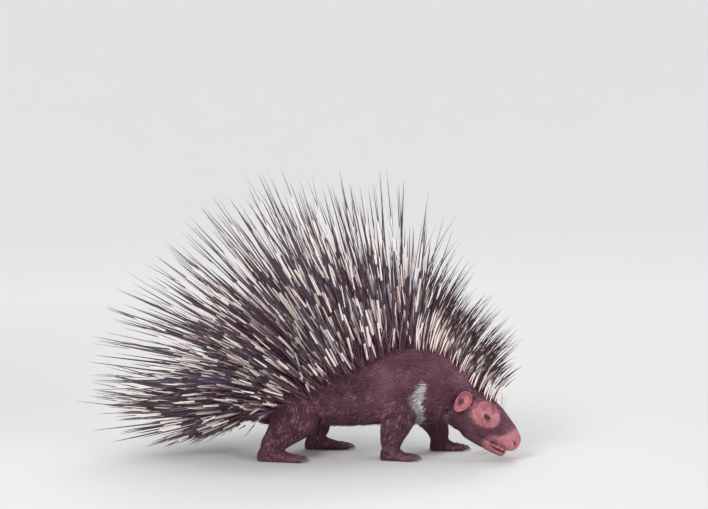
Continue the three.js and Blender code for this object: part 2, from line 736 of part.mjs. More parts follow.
// A lock on a surface: its centre line runs back along it and droops, and its section is a flat triangle
function lock(at, place, angle, droop, size = 1) {
  const step = 0.05;
  const rate = step / at(place, angle).distanceTo(at(place - step, angle));
  const radius = at(place, angle).distanceTo(at(place, angle + Math.PI)) / 2;
  const long = LOCK.long * size;
  const on = (share, out, side = 0) => {
    const turn = angle + (droop * long * share + side) / radius;
    return at(place - rate * long * share, turn, out);
  };
  const ring = (share, rise, width, thick) => {
    const [left, right] = [on(share, rise, width / 2), on(share, rise, -width / 2)];
    const out = on(share, 1).sub(on(share, 0)).normalize();
    return [left, right, on(share, rise).addScaledVector(out, thick)];
  };
  const rings = [
    ring(0.35, LOCK.rise[0], LOCK.wide * size, LOCK.thick),
    ring(0.7, LOCK.rise[1], LOCK.wide * 0.74 * size, LOCK.thick * 0.75),
  ];
  const [inner, tip] = [on(0, -LOCK.sunk), on(1, LOCK.rise[2])];
  const path = [on(0.12, 0), on(0.35, LOCK.rise[0]), on(0.7, LOCK.rise[1]), tip];
  return { inner, path, r: 0.42 * LOCK.wide, build: () => spike(inner, rings, tip) };
}

// Bristle locks over the trunk's flanks, throat and belly edge, where no quills grow
function growLocks(draw) {
  const roots = [];
  for (let n = 0; n < 2600; n++) {
    const place = 2.6 + draw() * 6.3;
    const middleX = trunkPoint(place, 0).x;
    const upper = radians(along(COAT, "round", middleX) + 11);
    const side = draw() < 0.5 ? 1 : -1;
    const angle = side * (upper + (radians(152) - upper) * draw());
    const root = trunkPoint(place, angle);
    if (isTooClose(root, roots, LOCK.apart)) continue;
    const made = lock(trunkPoint, place, angle, side * (0.25 + 0.2 * (draw() - 0.5)), 0.9 + 0.25 * draw());
    const node = nodeAt([made.inner, ...made.path], 2);
    if (!node || node === "head" || !isClear(made.path, made.r, "lock")) continue;
    roots.push(root);
    addRods(made.path, made.r, "lock");
    grow(node, made.build());
  }
}

const trunkSurface = (out) => (share, angle) => trunkPoint(share * (TRUNK.length - 1), angle, out);
const trunkLoft = (out) => loft(22, 18, trunkSurface(out));
const trunk = trunkLoft(0);
const trunkGrown = trunkLoft(GAP);
const headGrown = loft(18, 18, (share, angle) => headPoint(share * (HEAD.length - 1), angle, GAP));

const solids = new Map();

// The flesh of head and trunk, parted at the neck, behind the shoulders and before the rump
let rest = trunk.add(headFlesh());
for (const { name, point, normal } of PLANES) {
  const [behind, before] = part(rest, point, normal);
  solids.set(name, largest(before));
  rest = behind;
}
solids.set("rump", largest(rest));
solids.set("tail", largest(limb(TAIL, 8, 10).subtract(trunkGrown)));

for (const [name, side] of Object.entries(SIDES)) {
  solids.set("ear_" + name, largest(ear(side).subtract(headGrown).subtract(trunkGrown)));
  solids.set("eye_" + name, ball(eyeAt(side).centre, EYE.radius, 10, 7));
  const { base, centre, high } = earFrame(side);
  addRods([base, centre.clone().addScaledVector(high, 6)], EAR.wide + 2, "ear");
}

// Each leg down to its ankle, and its foot
for (const [name, { rows, foot: sizes, ankle }] of Object.entries(LEGS)) {
  const whole = limb(rows, 7, 11).add(foot(sizes)).subtract(trunkGrown);
  const [below, above] = part(whole, new THREE.Vector3(0, 0, ankle), UP);
  solids.set(name, largest(above));
  solids.set(name.replace("leg", "foot"), largest(below));
  for (let place = 0; place < rows.length - 1; place += 0.25) {
    const points = [middleOf(rows, place), middleOf(rows, place + 0.25)];
    addRods(points, between(rows, "r", place) + 1, "leg");
  }
}
for (let place = 0.5; place < TAIL.length - 1; place += 0.5) {
  addRods([middleOf(TAIL, place), middleOf(TAIL, place + 0.5)], between(TAIL, "r", place) + 1, "tail");
}

growCrest(draws(11));
growBack(draws(23));
growTail(draws(37));
growLocks(draws(53));
for (const [name, list] of grown) {
  solids.set(name, largest(wasm.Manifold.union([solids.get(name), ...list])));
}

// Materials by what the part is made of
const MATERIALS = {
  coat: { color: 0x4a3138, roughness: 0.75, metalness: 0 },
  skin: { color: 0x8a5a5c, roughness: 0.6, metalness: 0 },
  eye: { color: 0x0d0a0a, roughness: 0.15, metalness: 0 },
};
const materialOf = (name) => (name.startsWith("eye") ? "eye" : name.startsWith("ear") ? "skin" : "coat");

// A solid as a mesh geometry
function toGeometry(solid) {
  const mesh = solid.getMesh();
  const geometry = new THREE.BufferGeometry();
  const positions = new Float32Array(mesh.numVert * 3);
  for (let i = 0; i < mesh.numVert; i++)
    positions.set(mesh.vertProperties.subarray(i * mesh.numProp, i * mesh.numProp + 3), i * 3);
  geometry.setAttribute("position", new THREE.BufferAttribute(positions, 3));
  geometry.setIndex(new THREE.BufferAttribute(mesh.triVerts, 1));
  return geometry;
}

const group = new THREE.Group();
for (const [name, solid] of solids) {
  const material = new THREE.MeshStandardMaterial(MATERIALS[materialOf(name)]);
  const mesh = new THREE.Mesh(toGeometry(solid), material);
  mesh.name = name;
  group.add(mesh);
}
const bounds = new THREE.Box3().setFromObject(group);
const middle = bounds.getCenter(new THREE.Vector3());
group.position.set(-middle.x, -middle.y, -bounds.min.z);

export default group;
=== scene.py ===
# %% [markdown]
# # A crested porcupine, walking with every quill raised
#
# This scene dresses the solid model of a life-size porcupine. The solids give its true size and place.
# Here it gets one skin, a coat of bristles, banded quills, a crest, eyes, claws and teeth. All of them
# are surfaces worked out with numpy in the solids' own frame: metres, +X ahead, +Z up.

import bpy
import numpy as np
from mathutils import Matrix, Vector


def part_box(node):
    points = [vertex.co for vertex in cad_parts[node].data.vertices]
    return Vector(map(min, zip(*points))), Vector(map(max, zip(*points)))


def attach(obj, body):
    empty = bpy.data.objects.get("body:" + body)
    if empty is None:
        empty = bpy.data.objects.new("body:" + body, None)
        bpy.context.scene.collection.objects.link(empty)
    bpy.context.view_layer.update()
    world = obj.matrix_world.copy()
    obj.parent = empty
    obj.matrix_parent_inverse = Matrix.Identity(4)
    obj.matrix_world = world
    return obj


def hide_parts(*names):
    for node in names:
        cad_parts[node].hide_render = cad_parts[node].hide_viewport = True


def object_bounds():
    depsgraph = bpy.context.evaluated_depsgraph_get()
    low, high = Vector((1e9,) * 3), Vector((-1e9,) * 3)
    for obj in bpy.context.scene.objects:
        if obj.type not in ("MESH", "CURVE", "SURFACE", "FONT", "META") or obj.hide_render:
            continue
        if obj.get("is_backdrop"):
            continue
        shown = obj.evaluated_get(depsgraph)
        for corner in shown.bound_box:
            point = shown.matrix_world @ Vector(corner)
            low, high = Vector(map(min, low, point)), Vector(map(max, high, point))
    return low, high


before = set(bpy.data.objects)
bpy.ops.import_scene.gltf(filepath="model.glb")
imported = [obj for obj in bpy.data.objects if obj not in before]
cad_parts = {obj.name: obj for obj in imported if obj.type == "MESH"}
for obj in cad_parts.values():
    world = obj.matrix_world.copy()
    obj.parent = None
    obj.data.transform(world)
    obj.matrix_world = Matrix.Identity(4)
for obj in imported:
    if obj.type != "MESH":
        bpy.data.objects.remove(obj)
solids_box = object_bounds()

print("the solids' box", [tuple(round(x, 4) for x in corner) for corner in solids_box])

# %% [markdown]
# ## The animal's sizes
#
# A body could be sculpted by hand, but then every size would be buried in the mesh. It is lofted instead:
# each form is a short table of sections, and a smooth curve runs between them. The tables are the
# solids' own, in millimetres, so that skin and coat grow where the solids are.

# %% Sections of trunk, head and jaw
TRUNK = np.array(  # x, y, z of the middle, half the width, reach up and down
    [
        (-322, 0, 128, 8, 8, 8),
        (-311, 0, 130, 40, 42, 36),
        (-280, 0, 137, 71, 73, 60),
        (-225, 0, 151, 95, 95, 76),
        (-150, 0, 165, 109, 108, 88),
        (-65, 0, 172, 113, 110, 94),
        (20, 0, 173, 105, 106, 92),
        (90, 0, 165, 88, 92, 84),
        (140, -3, 151, 71, 76, 74),
        (176, -15, 133, 60, 64, 61),
        (204, -31, 113, 50, 51, 50),
    ],
    float,
)
HEAD = np.array(  # distance behind the nose, half the width, reach up and down
    [
        (0, 12, 13, 7),
        (3, 20, 22, 12),
        (12, 26, 31, 16),
        (32, 30, 40, 19),
        (64, 35, 49, 30),
        (98, 44, 55, 41),
        (136, 52, 56, 49),
        (172, 55, 53, 53),
        (206, 50, 45, 50),
    ],
    float,
)
JAW = np.array(  # distance behind the nose, height over its middle line, half the width and height
    [
        (15, -29, 7, 5),
        (20, -30, 16, 10),
        (38, -31, 24, 14),
        (68, -30, 33, 20),
        (104, -26, 42, 28),
        (130, -20, 40, 28),
    ],
    float,
)
SWELLINGS = np.array(  # distance behind the nose, degrees from the top, reach along and round, height
    [
        (24, 102, 17, 34, 7),
        (110, 112, 32, 30, 9),
        (82, 46, 20, 17, 5),
        (62, 80, 18, 34, -2.5),
    ],
    float,
)

# %% Sections of legs, feet and tail
LEGS = {  # x, y, z and radius from inside the trunk to the ankle
    "foreleg_right": [(44, -56, 130, 44), (30, -66, 88, 39), (18, -68, 52, 30), (15, -68, 22, 22)],
    "foreleg_left": [(74, 54, 128, 44), (106, 60, 88, 37), (128, 62, 52, 29), (133, 62, 22, 22)],
    "hindleg_right": [
        (-214, -30, 158, 52),
        (-212, -60, 130, 60),
        (-208, -73, 98, 55),
        (-236, -79, 64, 39),
        (-260, -80, 38, 28),
        (-268, -80, 20, 22),
    ],
    "hindleg_left": [
        (-208, 30, 158, 52),
        (-196, 60, 130, 60),
        (-176, 73, 98, 55),
        (-160, 79, 64, 38),
        (-160, 80, 38, 28),
        (-163, 80, 20, 22),
    ],
}
LEGS = {name: np.array(rows, float) for name, rows in LEGS.items()}
FEET = {  # x and y of the heel, length, number of toes and the turn in degrees
    "foreleg_right": (-8, -68, 60, 4, -6),
    "foreleg_left": (112, 62, 60, 4, 6),
    "hindleg_right": (-293, -80, 84, 5, -8),
    "hindleg_left": (-186, 80, 84, 5, 8),
}
FOOT_WIDE = 24
FOOT_TALL = 30
FOOT = np.array(  # share of the length, of the width and of the height
    [(0, 0.42, 0.6), (0.1, 0.7, 0.95), (0.35, 0.86, 1.05), (0.72, 1, 0.78), (1, 0.88, 0.5)]
)
TOE_LONG = 22
TOE_RADIUS = 7.2
CLAW_LONG = 15
CLAW_RADIUS = 3.2
TAIL = np.array(  # x, y, z and radius
    [(-296, 0, 124, 36), (-340, 0, 108, 27), (-380, 0, 94, 19), (-412, 0, 82, 9)],
    float,
)

# %% [markdown]
# ## Curves between sections
#
# A straight run from one section to the next would show a ring at each. A Catmull-Rom curve passes
# through every section with a smooth slope, and needs no handles. All the functions take whole arrays
# of places and angles, so that one call gives every point of a surface.

# %% Curves and sections
UP = np.array([0.0, 0.0, 1.0])
FORWARD = np.array([1.0, 0.0, 0.0])
LEFTWARD = np.array([0.0, 1.0, 0.0])
FULLNESS = 0.92  # under 1 makes a section fuller than an ellipse


def unit(vectors):
    """Each vector divided by its length."""
    return vectors / np.maximum(np.linalg.norm(vectors, axis=-1, keepdims=True), 1e-12)


def between(rows, place):
    """Catmull-Rom values of rows at places from 0 to the last row: a cubic through each pair of rows."""
    place = np.asarray(place, float)
    first = np.clip(np.floor(place).astype(int), 0, len(rows) - 2)
    t = (place - first)[..., None]
    a, b, c, d = (rows[np.clip(first + n, 0, len(rows) - 1)] for n in (-1, 0, 1, 2))
    return b + 0.5 * t * (c - a + t * (2 * a - 5 * b + 4 * c - d + t * (3 * (b - c) + d - a)))


def heading(rows, place):
    """The unit way in which the middle line of rows runs on at each place."""
    step = 0.05
    ahead = between(rows[:, :3], np.minimum(place + step, len(rows) - 1))
    return unit(ahead - between(rows[:, :3], np.maximum(place - step, 0)))


def on_section(centre, left, above, wide, up, down, angle, grow):
    """A point of a section: wide times sin angle to the left, and up or down times cos angle above,
    both raised to a power under 1, which rounds the section out."""
    sine = np.sign(np.sin(angle)) * np.abs(np.sin(angle)) ** FULLNESS
    cosine = np.sign(np.cos(angle)) * np.abs(np.cos(angle)) ** FULLNESS
    reach = np.where(cosine > 0, up, down) + grow
    return centre + left * ((wide + grow) * sine)[..., None] + above * (reach * cosine)[..., None]


def trunk_point(place, angle, grow=0.0):
    """The trunk's surface by its place along the rows and the angle round from its top to its left."""
    ahead = heading(TRUNK, place)
    left = unit(np.cross(UP, ahead))
    x, y, z, wide, up, down = np.moveaxis(between(TRUNK, place), -1, 0)
    centre = np.stack([x, y, z], axis=-1)
    return on_section(centre, left, np.cross(ahead, left), wide, up, down, angle, grow)


def limb_point(rows, level, place, angle, grow=0.0):
    """A round limb: a circle of the rows' radius square to the middle line, and never below the floor."""
    ahead = heading(rows, place)
    side = unit(np.cross(level, ahead))
    other = np.cross(ahead, side)
    value = between(rows, place)
    r = (value[..., 3] + grow)[..., None]
    across, round_it = r * np.cos(angle)[..., None], r * np.sin(angle)[..., None]
    point = value[..., :3] + side * across + other * round_it
    point[..., 2] = np.maximum(point[..., 2], 0)
    return point


# %% The head's own directions
NOSE = np.array([304.0, -84.0, 31.0])
HEAD_DOWN = np.radians(34)
HEAD_ASIDE = np.radians(27)
AHEAD = np.array(
    [
        np.cos(HEAD_DOWN) * np.cos(HEAD_ASIDE),
        -np.cos(HEAD_DOWN) * np.sin(HEAD_ASIDE),
        -np.sin(HEAD_DOWN),
    ]
)
LEFT = np.array([np.sin(HEAD_ASIDE), np.cos(HEAD_ASIDE), 0])
ABOVE = np.cross(AHEAD, LEFT)


def in_head(back, left, above):
    """A place in the head: back from the tip of the nose, to the left and above its middle line."""
    back, left, above = np.broadcast_arrays(np.asarray(back, float), left, above)
    return NOSE - AHEAD * back[..., None] + LEFT * left[..., None] + ABOVE * above[..., None]


def head_coordinates(points):
    """Back, left and above of points, in the head's own directions."""
    away = points - NOSE
    return -away @ AHEAD, away @ LEFT, away @ ABOVE


def swell(back, angle):
    """How far the head swells out: a sum of soft round hills, each the exponential of minus a distance
    squared, alike on both sides."""
    round_from_top = np.degrees(np.abs(np.arctan2(np.sin(angle), np.cos(angle))))
    total = np.zeros(np.broadcast(back, angle).shape)
    for at, turn, reach, width, high in SWELLINGS:
        away = ((back - at) / reach) ** 2 + ((round_from_top - turn) / width) ** 2
        total = total + high * np.exp(-away)
    return total


def head_point(place, angle, grow=0.0):
    """The skull's surface by its place along the head's rows and the angle round from its top."""
    back, wide, up, down = np.moveaxis(between(HEAD, place), -1, 0)
    return on_section(in_head(back, 0, 0), LEFT, ABOVE, wide, up, down, angle, grow + swell(back, angle))


def jaw_point(place, angle, grow=0.0):
    """The lower jaw: an ellipse at each section."""
    back, above, wide, tall = np.moveaxis(between(JAW, place), -1, 0)
    return in_head(back, (wide + grow) * np.sin(angle), above + (tall + grow) * np.cos(angle))


def head_place(back):
    """Where on the head's rows a distance behind the nose lies."""
    places = np.linspace(0, len(HEAD) - 1, 2000)
    return np.interp(back, between(HEAD, places)[:, 0], places)


def outward(surface, place, angle):
    """The way out of a surface: square to its two tangents, on the side where it grows."""
    step = 0.02
    forwards = surface(place + step, angle) - surface(place - step, angle)
    sideways = surface(place, angle + step) - surface(place, angle - step)
    normal = unit(np.cross(forwards, sideways))
    grown = surface(place, angle, 1.0) - surface(place, angle)
    return normal * np.sign((normal * grown).sum(-1, keepdims=True))


# %% From the tables' millimetres to the frame
EYE_BACK = 87
EYE_ROUND = np.radians(60)
EYE_RADIUS = 7.5
EYE_SUNK = 4.4
SIDES = {"left": 1, "right": -1}


def eye_at(side):
    """An eye's centre, a little way in from the skull's surface, and the way that it looks."""
    place = head_place(EYE_BACK)
    out = outward(head_point, place, side * EYE_ROUND)
    return head_point(place, side * EYE_ROUND) - out * EYE_SUNK, out


def middle_of_box(node):
    """The middle of a solid node's box, in millimetres."""
    low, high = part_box(node)
    return np.array((low + high) / 2) * 1000


SHIFT = np.mean([middle_of_box("eye_" + name) - eye_at(side)[0] for name, side in SIDES.items()], axis=0)
SHIFT[2] = 0  # the floor is at nought in both


def to_frame(points):
    """Metres in the frame from the tables' millimetres."""
    return (points + SHIFT) / 1000


print("the tables' origin lies in the frame at", np.round(SHIFT, 2), "mm")

# %% [markdown]
# ## The camera
#
# The picture looks at the animal's right side from a little above the ground, with much air round it.
# A long lens from far away keeps the near and far legs the same size, as the flat picture does.

# %% The camera
PICTURE_WIDTH = 1.65  # metres of the picture's width, at the animal
CAMERA_AWAY = 5.4
CAMERA_HIGH = np.radians(5)
camera_data = bpy.data.cameras.new("camera")
camera = bpy.data.objects.new("camera", camera_data)
bpy.context.scene.collection.objects.link(camera)
bpy.context.scene.camera = camera
camera_data.lens = camera_data.sensor_width * CAMERA_AWAY / PICTURE_WIDTH
looked_at = to_frame(np.array([-70.0, 0.0, 472.0]))  # the middle of the picture
camera_way = np.array([0, -np.cos(CAMERA_HIGH), np.sin(CAMERA_HIGH)])
camera.location = looked_at + camera_way * CAMERA_AWAY
camera.rotation_euler = Vector(-camera_way).to_track_quat("-Z", "Y").to_euler()
camera_data.clip_end = 100
print("lens", round(camera_data.lens, 1), "mm")

# %% [markdown]
# ## From arrays to meshes
#
# Blender takes a mesh as flat lists of corners and triangles. Handing it whole arrays is hundreds of
# times faster than adding faces one by one, which matters for a coat of many thousand tufts.

# %% Meshes from arrays
def make_piece(name, points, triangles, attributes=None, bake_map=None):
    """A smooth mesh object from points in millimetres and rows of three corners. Each attribute is a
    value, a vector or a colour at every point, and the bake map has a pair of numbers at every point."""
    mesh = bpy.data.meshes.new(name)
    mesh.vertices.add(len(points))
    mesh.vertices.foreach_set("co", to_frame(points).astype(np.float32).ravel())
    mesh.loops.add(triangles.size)
    mesh.loops.foreach_set("vertex_index", triangles.astype(np.int32).ravel())
    mesh.polygons.add(len(triangles))
    mesh.polygons.foreach_set("loop_start", np.arange(0, triangles.size, 3, dtype=np.int32))
    mesh.polygons.foreach_set("use_smooth", np.ones(len(triangles), bool))
    mesh.update(calc_edges=True)
    for key, values in (attributes or {}).items():
        add_attribute(mesh, key, values)
    if bake_map is not None:
        layer = mesh.uv_layers.new(name="OFBake")
        layer.data.foreach_set("uv", bake_map[triangles.ravel()].astype(np.float32).ravel())
    piece = bpy.data.objects.new(name, mesh)
    bpy.context.scene.collection.objects.link(piece)
    return piece


ATTRIBUTE_KINDS = {1: ("FLOAT", "value"), 3: ("FLOAT_VECTOR", "vector"), 4: ("FLOAT_COLOR", "color")}


def add_attribute(mesh, key, values):
    """Four numbers a point are kept as a colour, three as a vector and one as a value."""
    kind, field = ATTRIBUTE_KINDS[1 if values.ndim == 1 else values.shape[1]]
    mesh.attributes.new(key, kind, "POINT").data.foreach_set(field, values.astype(np.float32).ravel())


def loft_triangles(rings, sides):
    """Triangles between neighbouring rings of points, and a fan at each end to one more point each."""
    ring, side = np.meshgrid(np.arange(rings - 1), np.arange(sides), indexing="ij")
    a, b = (ring * sides + side).ravel(), (ring * sides + (side + 1) % sides).ravel()
    body = np.concatenate([np.stack([a, b, b + sides], 1), np.stack([a, b + sides, a + sides], 1)])
    edge = np.arange(sides)
    after = (edge + 1) % sides
    last = (rings - 1) * sides
    first_fan = np.stack([after, edge, np.full(sides, rings * sides)], 1)
    last_fan = np.stack([last + edge, last + after, np.full(sides, rings * sides + 1)], 1)
    return np.concatenate([body, first_fan, last_fan])


def loft(surface, rings, sides):
    """A closed form: surface(share, angle) on a grid of rings, with both ends drawn to a point."""
    turns = np.arange(sides) * 2 * np.pi / sides
    share, angle = np.meshgrid(np.linspace(0, 1, rings), turns, indexing="ij")
    points = surface(share, angle)
    ends = points[[0, -1]].mean(axis=1)
    return facing_out(np.concatenate([points.reshape(-1, 3), ends]), loft_triangles(rings, sides))


def facing_out(points, triangles):
    """Turns all triangles over if the volume that they close counts as negative."""
    a, b, c = (points[triangles[:, n]] for n in range(3))
    if (a * np.cross(b, c)).sum() < 0:
        triangles = triangles[:, ::-1]
    return points, triangles


def joined(forms):
    """Several forms as one array of points and one of triangles."""
    starts = np.cumsum([0] + [len(points) for points, _ in forms])
    points = np.concatenate([form[0] for form in forms])
    return points, np.concatenate([form[1] + start for form, start in zip(forms, starts)])


def limb(rows, rings, sides, level=LEFTWARD, grow=0.0):
    """A whole round limb along its rows, grown by so much."""
    last = len(rows) - 1
    return loft(lambda share, angle: limb_point(rows, level, share * last, angle, grow), rings, sides)


def points_of(mesh):
    """A mesh's corners as an array in millimetres of the tables."""
    flat = np.empty(len(mesh.vertices) * 3, np.float32)
    mesh.vertices.foreach_get("co", flat)
    return flat.reshape(-1, 3).astype(float) * 1000 - SHIFT


def normals_of(mesh):
    """The way out of a mesh at each corner."""
    flat = np.empty(len(mesh.vertices) * 3, np.float32)
    mesh.vertex_normals.foreach_get("vector", flat)
    return flat.reshape(-1, 3).astype(float)


def move_points(mesh, points):
    """Puts a mesh's corners at new places, in millimetres of the tables."""
    mesh.vertices.foreach_set("co", to_frame(points).astype(np.float32).ravel())
    mesh.update()


def modified(piece, kind, **settings):
    """Gives a piece the mesh that a modifier of a kind makes of it with these settings."""
    step = piece.modifiers.new("step", kind)
    for key, value in settings.items():
        setattr(step, key, value)
    seen = piece.evaluated_get(bpy.context.evaluated_depsgraph_get())
    mesh = bpy.data.meshes.new_from_object(seen)
    piece.modifiers.clear()
    old = piece.data
    piece.data = mesh
    bpy.data.meshes.remove(old)


def combine(piece, form, operation):
    """Adds a closed form to a piece, or cuts it out."""
    other = make_piece("tool", *form)
    modified(piece, "BOOLEAN", solver="MANIFOLD", operation=operation, object=other)
    bpy.data.objects.remove(other)


def remeshed(piece, cell):
    """Rebuilds a piece's surface from even cells, which melts forms that overlap into one."""
    modified(piece, "REMESH", mode="VOXEL", voxel_size=cell / 1000)


def weigh(piece, name, weights):
    """Puts weights from 0 to 1 into a vertex group, in tenths."""
    group = piece.vertex_groups.new(name=name)
    for level in range(1, 11):
        chosen = np.flatnonzero(np.round(weights * 10) == level)
        group.add(chosen.tolist(), level / 10, "REPLACE")


# %% [markdown]
# ## The body under the coat
#
# A porcupine's trunk, legs and tail run into one another with soft folds. Separate lofts would meet in
# hard creases, so they are remeshed together from 4 mm cells and then smoothed above the feet only.
# The skin lies under the solids' faces by the depth of the fur that will cover it.

# %% Trunk, legs, feet and tail
def foot_place(name, ahead, left, high):
    """A place over a foot, ahead of its heel and to the left of its middle line."""
    heel_x, heel_y, _, _, turn = FEET[name]
    turn = np.radians(turn)
    ahead, left, high = np.broadcast_arrays(np.asarray(ahead, float), left, high)
    x = heel_x + ahead * np.cos(turn) - left * np.sin(turn)
    y = heel_y + ahead * np.sin(turn) + left * np.cos(turn)
    return np.stack([x, y, high], axis=-1)


def foot_surface(name, thinner):
    """A flat-soled foot: wide times sin angle across, and up by the cosine, cut off at the floor."""
    length = FEET[name][2]

    def surface(share, angle):
        at, wide, tall = np.moveaxis(between(FOOT, share * (len(FOOT) - 1)), -1, 0)
        high = np.maximum(0.42 + 0.58 * np.cos(angle), 0) * (FOOT_TALL - thinner) * tall
        left = (FOOT_WIDE - thinner) * wide * np.sin(angle)
        return foot_place(name, length * at, left, high)

    return surface


def toe_rows(name):
    """The middle line and radius of each toe, and of the claw at its end, as the solids have them."""
    _, _, length, count, _ = FEET[name]
    for n in range(count):
        spread = 2 * n / (count - 1) - 1
        start = spread * (FOOT_WIDE - TOE_RADIUS)
        reach = length + TOE_LONG * (1 - 0.3 * spread**2)
        toe = [
            (length - 12, start, TOE_RADIUS - 1, TOE_RADIUS),
            (length + 6, start * 1.15, TOE_RADIUS, TOE_RADIUS),
            (reach, start * 1.35, TOE_RADIUS - 2, TOE_RADIUS * 0.62),
        ]
        claw = [
            (reach - 7, start * 1.35, TOE_RADIUS - 1.2, CLAW_RADIUS),
            (reach + CLAW_LONG * 0.4, start * 1.39, TOE_RADIUS + 0.2, CLAW_RADIUS * 0.86),
            (reach + CLAW_LONG, start * 1.45, 1.2, 0.35),
        ]
        yield tuple(
            np.array([(*foot_place(name, ahead, left, high), r) for ahead, left, high, r in rows])
            for rows in (toe, claw)
        )


TRUNK_UNDER = 2.0  # how far the skin lies under the solids
LEG_UNDER = 3.5
FOOT_UNDER = 1.2
BODY_CELL = 4.0
SMOOTH_ABOVE = 46  # over the floor
SMOOTH_BLEND = 20
last_row = len(TRUNK) - 1
forms = [loft(lambda share, angle: trunk_point(share * last_row, angle, -TRUNK_UNDER), 100, 72)]
forms += [limb(rows, 40, 40, grow=-LEG_UNDER) for rows in LEGS.values()]
forms += [loft(foot_surface(name, FOOT_UNDER), 24, 40) for name in FEET]
forms.append(limb(TAIL, 24, 32, grow=-TRUNK_UNDER))
body = make_piece("skin", *joined(forms))
remeshed(body, BODY_CELL)
weigh(body, "soft", np.clip((points_of(body.data)[:, 2] - SMOOTH_ABOVE) / SMOOTH_BLEND, 0, 1))
modified(body, "SMOOTH", iterations=14, factor=0.6, vertex_group="soft")
print("body", len(body.data.polygons), "faces")

# %% [markdown]
# ## The head
#
# The face shows most of the animal's nature, so its forms are real ones: a jaw of its own, a slit
# between rolled lips, sockets with lids round them. Each is added to the skull or cut out of it as a
# closed form, because a Boolean keeps a clean edge where sculpting by height can't undercut.

# %% The skull, jaw and mouth
HEAD_UNDER = 1.6
JAW_UNDER = 1.0
MOUTH_CORNER = 56  # behind the nose
MOUTH_UPPER = -14
MOUTH_LOWER = -29
MOUTH_CORNER_ABOVE = -22
LIP = 3.0
UPPER_LIP = [(51, 33, -20), (34, 32, -16), (17, 24, -13), (8, 0, -9)]
LOWER_LIP = [(51, 29, -25), (36, 25, -29), (23, 16, -31), (17, 0, -31.5)]


def head_rows(rows):
    """Rows of back, left, above and radius as a path in millimetres of the tables."""
    return np.array([(*in_head(back, left, above), r) for back, left, above, r in rows])


def lip(course):
    """A roll along the mouth, from one corner round the front to the other, thinner at the corners."""
    thick = [LIP * 0.7, LIP, LIP, LIP * 0.9]
    left = [(back, side, above, r) for (back, side, above), r in zip(course, thick)]
    right = [(back, -side, above, r) for back, side, above, r in left[:-1]][::-1]
    return limb(head_rows(left + right), 60, 16, level=ABOVE)


def mouth_gap():
    """A wedge right across the muzzle that closes at the corners of the mouth."""
    outline = [
        (-20, MOUTH_UPPER + 1),
        (-20, MOUTH_LOWER - 1),
        (MOUTH_CORNER, MOUTH_CORNER_ABOVE - 0.4),
        (MOUTH_CORNER, MOUTH_CORNER_ABOVE + 0.4),
    ]
    points = [in_head(back, side, above) for side in (-80, 80) for back, above in outline]
    faces = [(0, 1, 2), (0, 2, 3), (4, 6, 5), (4, 7, 6)]
    for n in range(4):
        m = (n + 1) % 4
        faces += [(n, n + 4, m + 4), (n, m + 4, m)]
    return facing_out(np.array(points), np.array(faces))


def ball(centre, radius, rings=40, sides=48):
    """A sphere: the angle from its top runs with share, and angle goes round it."""

    def surface(share, angle):
        polar = np.pi * (0.01 + 0.98 * share)
        way = np.stack([np.sin(polar) * np.cos(angle), np.sin(polar) * np.sin(angle), np.cos(polar)], -1)
        return centre + radius * way

    return loft(surface, rings, sides)


EYE_OPEN_LONG = 6.9
EYE_OPEN_HIGH = 4.0
LID = 2.1
GAP = 0.3  # between eye and lids


def eye_frame(side):
    """An eye's centre and its own directions: along the face, up, and out."""
    centre, out = eye_at(side)
    along = unit(AHEAD - out * (AHEAD @ out))
    return centre, along, np.cross(out, along), out


def almond(angle, grow=0.0):
    """The edge between the lids: its half height falls off as the square of the way to the corners."""
    u = (EYE_OPEN_LONG + grow) * np.cos(angle)
    half = (EYE_OPEN_HIGH + grow) * (1 - np.abs(np.cos(angle)) ** 2.2)
    return u, half * np.sign(np.sin(angle))


def lid_opening(side):
    """A prism of the almond between the lids, along the eye's own axis."""
    centre, along, up, out = eye_frame(side)

    def surface(share, angle):
        u, v = almond(angle)
        depth = 2 + 26 * share
        return centre + along * u[..., None] + up * v[..., None] + out * depth[..., None]

    return loft(surface, 2, 48)


last_head = len(HEAD) - 1
skull = loft(lambda share, angle: head_point(share * last_head, angle, -HEAD_UNDER), 110, 96)
head = make_piece("head_form", *skull)
last_jaw = len(JAW) - 1
jaw = loft(lambda share, angle: jaw_point(share * last_jaw, angle, -JAW_UNDER), 50, 48)
combine(head, jaw, "UNION")
combine(head, mouth_gap(), "DIFFERENCE")
for course in (UPPER_LIP, LOWER_LIP):
    combine(head, lip(course), "UNION")
for name, side in SIDES.items():
    eye_centre = eye_at(side)[0]
    combine(head, ball(eye_centre, EYE_RADIUS + GAP + LID), "UNION")
    combine(head, ball(eye_centre, EYE_RADIUS + GAP), "DIFFERENCE")
    combine(head, lid_opening(side), "DIFFERENCE")
print("head", len(head.data.polygons), "faces")

# %% [markdown]
# ## One skin
#
# A real hide has no seam at the neck or the hips. Body, head and toes are remeshed into one surface
# from cells small enough for lips and lids. That makes far more faces than a trunk needs, so the
# trunk's are then merged again, and only the face keeps its fine ones.

# %% Body, head and toes as one surface
SKIN_CELL = 1.3
SKIN_FACES = 172_000


def form_of(piece):
    """A piece's points and triangles as arrays."""
    mesh = piece.data
    mesh.calc_loop_triangles()
    flat = np.empty(len(mesh.loop_triangles) * 3, np.int32)
    mesh.loop_triangles.foreach_get("vertices", flat)
    return points_of(mesh), flat.reshape(-1, 3)


def smooth_step(low, high, value):
    """0 below low, 1 above high, and an S curve between them."""
    t = np.clip((value - low) / (high - low), 0, 1)
    return t * t * (3 - 2 * t)


